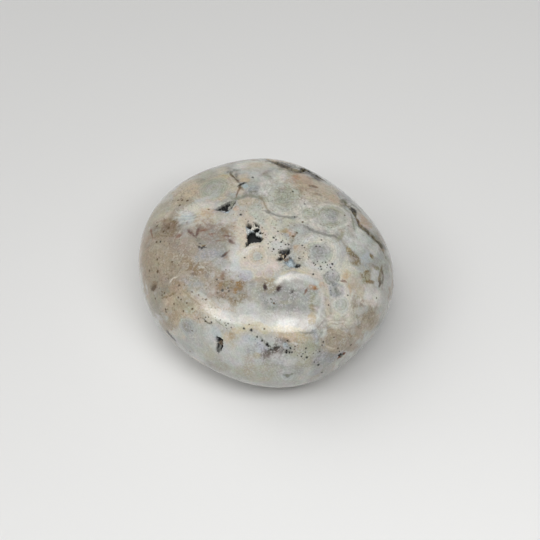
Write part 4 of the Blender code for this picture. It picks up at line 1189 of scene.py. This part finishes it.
def group(name, inputs, result, build):
    """A node group: build(graph, sockets) returns its result.

    It also hands its Place on, plus 0 times the result. The next marking starts from there, so
    that markings are worked out one after another: held all at once, they overflow the renderer.
    """
    tree = bpy.data.node_groups.new(name, "ShaderNodeTree")
    for socket, kind in inputs:
        tree.interface.new_socket(socket, in_out="INPUT", socket_type=kind)
    tree.interface.new_socket("Result", in_out="OUTPUT", socket_type=result)
    tree.interface.new_socket("Onward", in_out="OUTPUT", socket_type=VECTOR)
    g = Graph(tree)
    entry = tree.nodes.new("NodeGroupInput").outputs
    leaving = build(g, entry)
    onward = after(g, entry["Place"], leaving)
    way_out = tree.nodes.new("NodeGroupOutput").inputs
    tree.links.new(leaving, way_out["Result"])
    tree.links.new(onward, way_out["Onward"])
    return tree


def after(g, place, result):
    """A place that is the same but is known only once the result is."""
    return g.vector("MULTIPLY_ADD", result, (0.0, 0.0, 0.0), place)


def ellipse_radius(g, sockets):
    """Distance from the middle of an ellipse, as a share of its radius."""
    values = {
        "Vector": sockets["Place"], "Location": sockets["Middle"],
        "Rotation": sockets["Turn"], "Scale": sockets["Radii"],
    }
    return g.vector("LENGTH", g.node("ShaderNodeMapping", values, vector_type="TEXTURE").outputs[0])


def build_patch(g, sockets):
    """One soft-edged ellipse of paint over the colour below it, thinned by a texture."""
    radius = g.math("MULTIPLY_ADD", sockets["Ragged"], sockets["Edge"], ellipse_radius(g, sockets))
    start = g.math("MULTIPLY_ADD", sockets["Edge"], -0.5, 1.0)
    end = g.math("MULTIPLY_ADD", sockets["Edge"], 0.5, 1.0)
    share = g.math("MULTIPLY", g.ramp(radius, start, end, sockets["Strength"], 0.0), sockets["Texture"])
    return g.mix(share, sockets["Below"], sockets["Paint"])


def build_stroke(g, sockets):
    """The smaller of a running distance and the distance to one ellipse."""
    return g.math("MINIMUM", sockets["Nearest"], ellipse_radius(g, sockets))


def build_speck(g, sockets):
    """The smaller of a running distance and the distance to one dot, as a share of its radius."""
    distance = g.vector("DISTANCE", sockets["Place"], sockets["Middle"])
    return g.math("MINIMUM", sockets["Nearest"], g.math("MULTIPLY", distance, sockets["Sharpness"]))


# ---------------------------------------------------------------- paint of the stone
class Jasper:
    """The stone's paint: layers of markings, each mixed over the colour so far."""

    def __init__(self, graph, seats):
        self.graph = graph
        self.seats = seats
        self.colour = linear("stone")
        self.place = graph.attribute("skin", "Vector")
        _, broad = graph.noise(self.place, *BROAD_NOISE)
        _, close = graph.noise(self.place, *CLOSE_NOISE)
        _, fine = graph.noise(self.place, *FINE_NOISE)
        near = graph.vector("ADD", self.place, self.shift(close, CLOSE_SHIFT))
        self.places = {
            "near": near,
            "warped": graph.vector("ADD", near, self.shift(broad, BROAD_SHIFT)),
            "fine": graph.vector("ADD", self.place, self.shift(fine, FINE_SHIFT)),
            "calm": graph.vector("ADD", self.place, self.shift(close, CALM_SHIFT)),
        }
        ragged, _ = graph.noise(self.place, *RAGGED_NOISE)
        self.ragged = graph.math("MULTIPLY_ADD", ragged, PATCH_RAGGEDNESS, -PATCH_RAGGEDNESS / 2)
        self.patch_group = group("soft patch", PATCH_INPUTS, COLOUR, build_patch)
        self.stroke_group = group("stroke", STROKE_INPUTS, FLOAT, build_stroke)
        self.speck_group = group("speck", SPECK_INPUTS, FLOAT, build_speck)
        self.textures = self.paint_textures()

    def shift(self, noise, reach):
        """A displacement within reach millimetres each way, from a noise colour."""
        return self.graph.vector("MULTIPLY_ADD", noise, (2 * reach,) * 3, (-reach,) * 3)

    def use(self, tree, where, **values):
        """One use of a node group at a kind of place, with its sockets set or linked by name."""
        values["Place"] = self.places[where]
        node = self.graph.node("ShaderNodeGroup", values, node_tree=tree)
        self.places[where] = node.outputs["Onward"]
        return node.outputs["Result"]

    def paint_textures(self):
        """Patterns that thin a patch: threads, flecks, dots and fine bands, from 0 to 1."""
        g = self.graph
        lumps, _ = g.noise(self.places["warped"], *THREAD_NOISE)
        ridges = g.math("ABSOLUTE", g.math("MULTIPLY_ADD", lumps, 2.0, -1.0))
        speckle, _ = g.noise(self.places["fine"], *FLECK_NOISE)
        clumps, _ = g.noise(self.place, *CLUMP_NOISE)
        from_dot, size = g.cells(self.places["fine"], DOT_SPACING, DOT_SHUFFLE)
        dot_radius = g.math("MULTIPLY_ADD", size, DOT_RADII[1], DOT_RADII[0])
        contours, _ = g.noise(self.place, *BAND_NOISE)
        waves = g.math("SINE", g.math("MULTIPLY", contours, math.tau * BANDS))
        return {
            "soft": 1.0,
            "threads": g.ramp(ridges, *THREAD_EDGE, 1.0, 0.0),
            "flecks": g.ramp(g.math("MULTIPLY_ADD", clumps, FLECK_CLUMPING, speckle), *FLECK_EDGE),
            "dots": g.ramp(g.math("SUBTRACT", from_dot, dot_radius), *DOT_EDGE, 1.0, 0.0),
            "bands": g.ramp(waves, *BAND_EDGE),
        }

    def patch(self, marking, where, kind="soft"):
        """Mix one soft-edged ellipse over the colour."""
        *spot, name, strength, edge = marking
        middle, turn, radii = self.seats.ellipse(*spot)
        self.colour = self.use(
            self.patch_group, where, Middle=middle, Turn=turn, Radii=radii, Ragged=self.ragged, Edge=edge,
            Strength=strength, Texture=self.textures[kind], Below=self.colour, Paint=linear(name))

    def orb(self, marking):
        """Mix concentric rings over the colour."""
        *spot, rings = marking
        g = self.graph
        middle, turn, radii = self.seats.ellipse(*spot)
        sockets = {"Place": self.places["calm"], "Middle": middle, "Turn": turn, "Radii": radii}
        radius = g.math("MULTIPLY_ADD", self.ragged, ORB_RAGGEDNESS, ellipse_radius(g, sockets))
        self.rings(radius, rings)
        ripple = g.math("SINE", g.math("MULTIPLY", radius, math.tau * spot[2] / RIPPLE_PIXELS))
        height = g.ramp(radius, *RIPPLE_EDGE, RIPPLE_HEIGHT, 0.0)
        self.colour = g.scale(self.colour, g.math("MULTIPLY_ADD", ripple, height, 1.0))
        self.places["calm"] = after(g, self.places["calm"], self.colour)

    def rings(self, radius, rings):
        """Mix rings over the colour, fading out at the last."""
        share = self.graph.ramp(radius, *ORB_EDGE, ORB_STRENGTH, 0.0)
        self.colour = self.graph.mix(share, self.colour, self.colours_along(radius, rings))

    def vein(self, marking):
        """Mix a line through its pixels over the colour, as overlapping thin ellipses."""
        stations, half_width, name, strength = marking
        nearest = FAR
        for (x0, y0), (x1, y1) in zip(stations, stations[1:]):
            half_length = math.hypot(x1 - x0, y1 - y0) * STROKE_OVERLAP + half_width
            tilt = math.degrees(math.atan2(y0 - y1, x1 - x0))
            spot = ((x0 + x1) / 2, (y0 + y1) / 2, half_length, half_width, tilt)
            middle, turn, radii = self.seats.ellipse(*spot)
            nearest = self.use(
                self.stroke_group, "near", Nearest=nearest, Middle=middle, Turn=turn, Radii=radii)
        nearest = self.graph.math("ADD", nearest, self.ragged)
        share = self.graph.ramp(nearest, *VEIN_EDGE, strength, 0.0)
        self.colour = self.graph.mix(share, self.colour, linear(name))

    def specks(self, name, places):
        """Mix small dots over the colour."""
        nearest = FAR
        for x, y, half_width in places:
            middle, _ = self.seats.point(x, y)
            sharpness = 1.0 / (half_width * MM_PER_PIXEL)
            nearest = self.use(
                self.speck_group, "fine", Nearest=nearest, Middle=middle, Sharpness=sharpness)
        share = self.graph.ramp(nearest, *SPECK_EDGE, SPECK_STRENGTH, 0.0)
        self.colour = self.graph.mix(share, self.colour, linear(name))

    def hidden_side(self):
        """Clouds of several colours and scattered ringed orbs, all round the stone."""
        g = self.graph
        clouds, _ = g.noise(self.places["warped"], *CLOUD_NOISE)
        self.colour = self.colours_along(clouds, CLOUD_COLOURS)
        from_middle, size = g.cells(self.places["near"], HIDDEN_SPACING, HIDDEN_SHUFFLE)
        reach = g.math("MULTIPLY_ADD", size, HIDDEN_RADII[1], HIDDEN_RADII[0])
        self.rings(g.math("DIVIDE", from_middle, reach), HIDDEN_RINGS)

    def colours_along(self, value, stations):
        """The colour at a value between 0 and 1, along named colours at their positions."""
        ramp = self.graph.node("ShaderNodeValToRGB", {0: value})
        stops = ramp.color_ramp.elements
        while len(stops) < len(stations):
            stops.new(1.0)
        for stop, (position, name) in zip(stops, stations):
            stop.position = position
            stop.color = linear(name)
        return ramp.outputs[0]

    def mottle(self):
        """Lighten and darken the colour in cloudy lumps, thin bands and grains, shift its hue, and paint
        light: paler toward +Y and the rim, darker on the crown.
        """
        g = self.graph
        lumps, _ = g.noise(self.places["warped"], *LUMP_NOISE)
        _, hues = g.noise(self.places["near"], *HUE_NOISE)
        grains, _ = g.noise(self.place, *GRAIN_NOISE)
        bands = g.math("SINE", g.math("MULTIPLY", lumps, math.tau * BANDS))
        shade = g.math("MULTIPLY_ADD", lumps, LUMP_HEIGHT, 1.0 - LUMP_HEIGHT / 2 - GRAIN_HEIGHT / 2)
        shade = g.math("MULTIPLY_ADD", grains, GRAIN_HEIGHT, shade)
        shade = g.math("MULTIPLY_ADD", bands, BAND_HEIGHT, shade)
        # painted light: paler toward +Y, and paler at the rim than on the crown
        place = g.parts(self.place)
        shade = g.math("MULTIPLY_ADD", place["Y"], PAINTED_LIGHT_PER_MM, shade)
        shade = g.math("MULTIPLY", shade, g.ramp(place["Z"], CROWN_Z, RIM_Z, CROWN_PAINTED_SHADE, RIM_PAINTED_LIGHT))
        tint = g.vector("MULTIPLY_ADD", hues, (HUE_SHIFT,) * 3, (1 - HUE_SHIFT / 2,) * 3)
        self.colour = g.scale(g.vector("MULTIPLY", self.colour, tint), shade)

    def skin(self):
        """Every marking of the polished skin, back to front."""
        self.hidden_side()
        for markings in PATCHES.values():
            for marking in markings:
                self.patch(marking, "warped" if max(marking[2:4]) > SMALL_PATCH else "near")
        for marking in ORBS.values():
            self.orb(marking)
        for kind, markings in TEXTURED_PATCHES.items():
            for marking in markings:
                self.patch(marking, "warped", kind)
        for marking in VEINS:
            self.vein(marking)
        self.mottle()
        for name, places in SPECKS.items():
            self.specks(name, places)
        return self.colour

    def seam(self):
        """Dark broken stone."""
        broken, _ = self.graph.noise(self.place, *SEAM_NOISE)
        return self.graph.mix(self.graph.ramp(broken, *SEAM_BLEND), linear("soot"), linear("olive"))

    def druse(self, in_pit):
        """Crystals and stains in the vugs, with painted light and shade on the facets and painted shade
        making their pits black.
        """
        g = self.graph
        self.colour = linear("quartz")
        for marking in DRUSE:
            self.patch(marking, "near")
        # painted light and shade: the crystals' facets made lighter and darker at random
        facets, _ = g.noise(self.place, *FACET_NOISE)
        crystals = g.scale(self.colour, g.math("MULTIPLY_ADD", facets, FACET_PAINTED_LIGHT[1], FACET_PAINTED_LIGHT[0]))
        # painted shade: the pits' walls turn black
        return g.mix(g.ramp(in_pit, *PIT_PAINTED_SHADE), crystals, linear("night"))


def new_material(name):
    """A material and its shader."""
    material = bpy.data.materials.new(name)
    material.use_nodes = True
    return material, material.node_tree.nodes["Principled BSDF"]


def jasper_material(seats):
    """Polished painted skin, with broken stone in the seam and crystals in the vugs, their pits black with
    painted shade.
    """
    material, shader = new_material("jasper")
    g = Graph(material.node_tree)
    paint = Jasper(g, seats)
    skin = paint.skin()
    in_vug, in_pit, groove = (g.attribute(name, "Fac") for name in ("vug", "pit", "groove"))
    # pits beyond a mouth get the vugs' paint too, with its painted shade
    in_vug = g.math("MAXIMUM", in_vug, in_pit)
    in_groove = g.ramp(groove, *SEAM_DEPTHS, 0.0, SEAM_STRENGTH)
    plain = g.mix(in_groove, skin, paint.seam())
    g.give(shader.inputs["Base Color"], g.mix(in_vug, plain, paint.druse(in_pit)))
    broken = g.math("MAXIMUM", in_vug, in_groove)
    rough = g.math("MULTIPLY_ADD", broken, BROKEN_ROUGHNESS, POLISHED_ROUGHNESS)
    g.give(shader.inputs["Roughness"], rough)
    shader.inputs["IOR"].default_value = REFRACTIVE_INDEX
    return material


# ---------------------------------------------------------------- light and floor
def add_object(name, data):
    """A new object in the scene."""
    added = bpy.data.objects.new(name, data)
    bpy.context.collection.objects.link(added)
    return added


def floor_object():
    """A pale square floor."""
    data = bpy.data.meshes.new("floor")
    corners = [(x * FLOOR_HALF, y * FLOOR_HALF, 0) for x, y in ((-1, -1), (1, -1), (1, 1), (-1, 1))]
    data.from_pydata(corners, [], [(0, 1, 2, 3)])
    material, shader = new_material("floor")
    shader.inputs["Base Color"].default_value = FLOOR_COLOUR
    shader.inputs["Roughness"].default_value = FLOOR_ROUGHNESS
    data.materials.append(material)
    return add_object("floor", data)


def ceiling_panel(view, name, left, right, far, near, radiance, fades):
    """A horizontal soft light that fades toward its edges."""
    data = bpy.data.lights.new(name, "AREA")
    data.shape = "RECTANGLE"
    data.size = (right - left) * PANEL_HEIGHT
    data.size_y = (near - far) * PANEL_HEIGHT
    data.energy = radiance * math.pi * data.size * data.size_y
    data.use_nodes = True
    g = Graph(data.node_tree)
    place = g.parts(g.node("ShaderNodeNewGeometry").outputs["Parametric"])
    strength = 1.0
    for axis, edge, share in fades:
        fade = g.ramp(place[axis], edge, edge + share * (1 - 2 * edge))
        strength = g.math("MULTIPLY", fade, strength)
    g.give(data.node_tree.nodes["Emission"].inputs["Strength"], strength)
    lamp = add_object(name, data)
    overhead = Vector((0.0, 0.0, 1.0))
    middle = view.right * (left + right) / 2 + view.toward * (far + near) / 2 + overhead
    turn = turned(view.right, -view.toward, overhead).to_4x4()
    lamp.matrix_world = Matrix.Translation(middle * PANEL_HEIGHT) @ turn
    lamp.visible_camera = False


def room_glow():
    """Soft light of the room: broad glows on the left, high and low, and behind, and haze at the horizon."""
    world = bpy.data.worlds.new("room")
    world.use_nodes = True
    g = Graph(world.node_tree)
    where = g.node("ShaderNodeTexCoord").outputs["Generated"]
    level = g.math("SUBTRACT", 1.0, g.math("ABSOLUTE", g.parts(where)["Z"]))
    total = g.math("MULTIPLY", g.math("POWER", level, HAZE_NARROWNESS), HAZE)
    for turn, elevation, strength in ROOM_GLOWS:
        heading = math.radians(VIEW_AZIMUTH - turn)
        rise = math.radians(elevation)
        aside = -Vector((math.cos(heading), math.sin(heading), 0.0))
        middle = aside * math.cos(rise) + Vector((0.0, 0.0, math.sin(rise)))
        nearness = g.math("MAXIMUM", g.vector("DOT_PRODUCT", where, middle), 0.0)
        total = g.math("MULTIPLY_ADD", g.math("POWER", nearness, GLOW_NARROWNESS), strength, total)
    background = world.node_tree.nodes["Background"]
    background.inputs["Color"].default_value = ROOM_COLOUR
    g.give(background.inputs["Strength"], total)
    bpy.context.scene.world = world


def camera_object(view):
    """The camera, whose focal length gives the view's scale at its aim."""
    data = bpy.data.cameras.new("camera")
    data.sensor_width = SENSOR_MM
    data.lens = SENSOR_MM * VIEW_DISTANCE / (FRAME_PIXELS * MM_PER_PIXEL)
    data.clip_start = NEAR_CLIP
    camera = add_object("camera", data)
    turn = turned(view.right, view.up, view.back).to_4x4()
    camera.matrix_world = Matrix.Translation(view.place * METRES_PER_MM) @ turn
    return camera


# ---------------------------------------------------------------- scene
view = View()
stone_data, seats = stone_mesh(view)
stone = add_object("jasper_stone", stone_data)
stone.data.materials.append(jasper_material(seats))
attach(stone, "root")
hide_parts(NODE_NAME)

floor = floor_object()

for name, panel in CEILING_PANELS.items():
    ceiling_panel(view, name, **panel)
room_glow()

bpy.context.scene.camera = camera_object(view)
bpy.context.scene.view_settings.view_transform = "Standard"
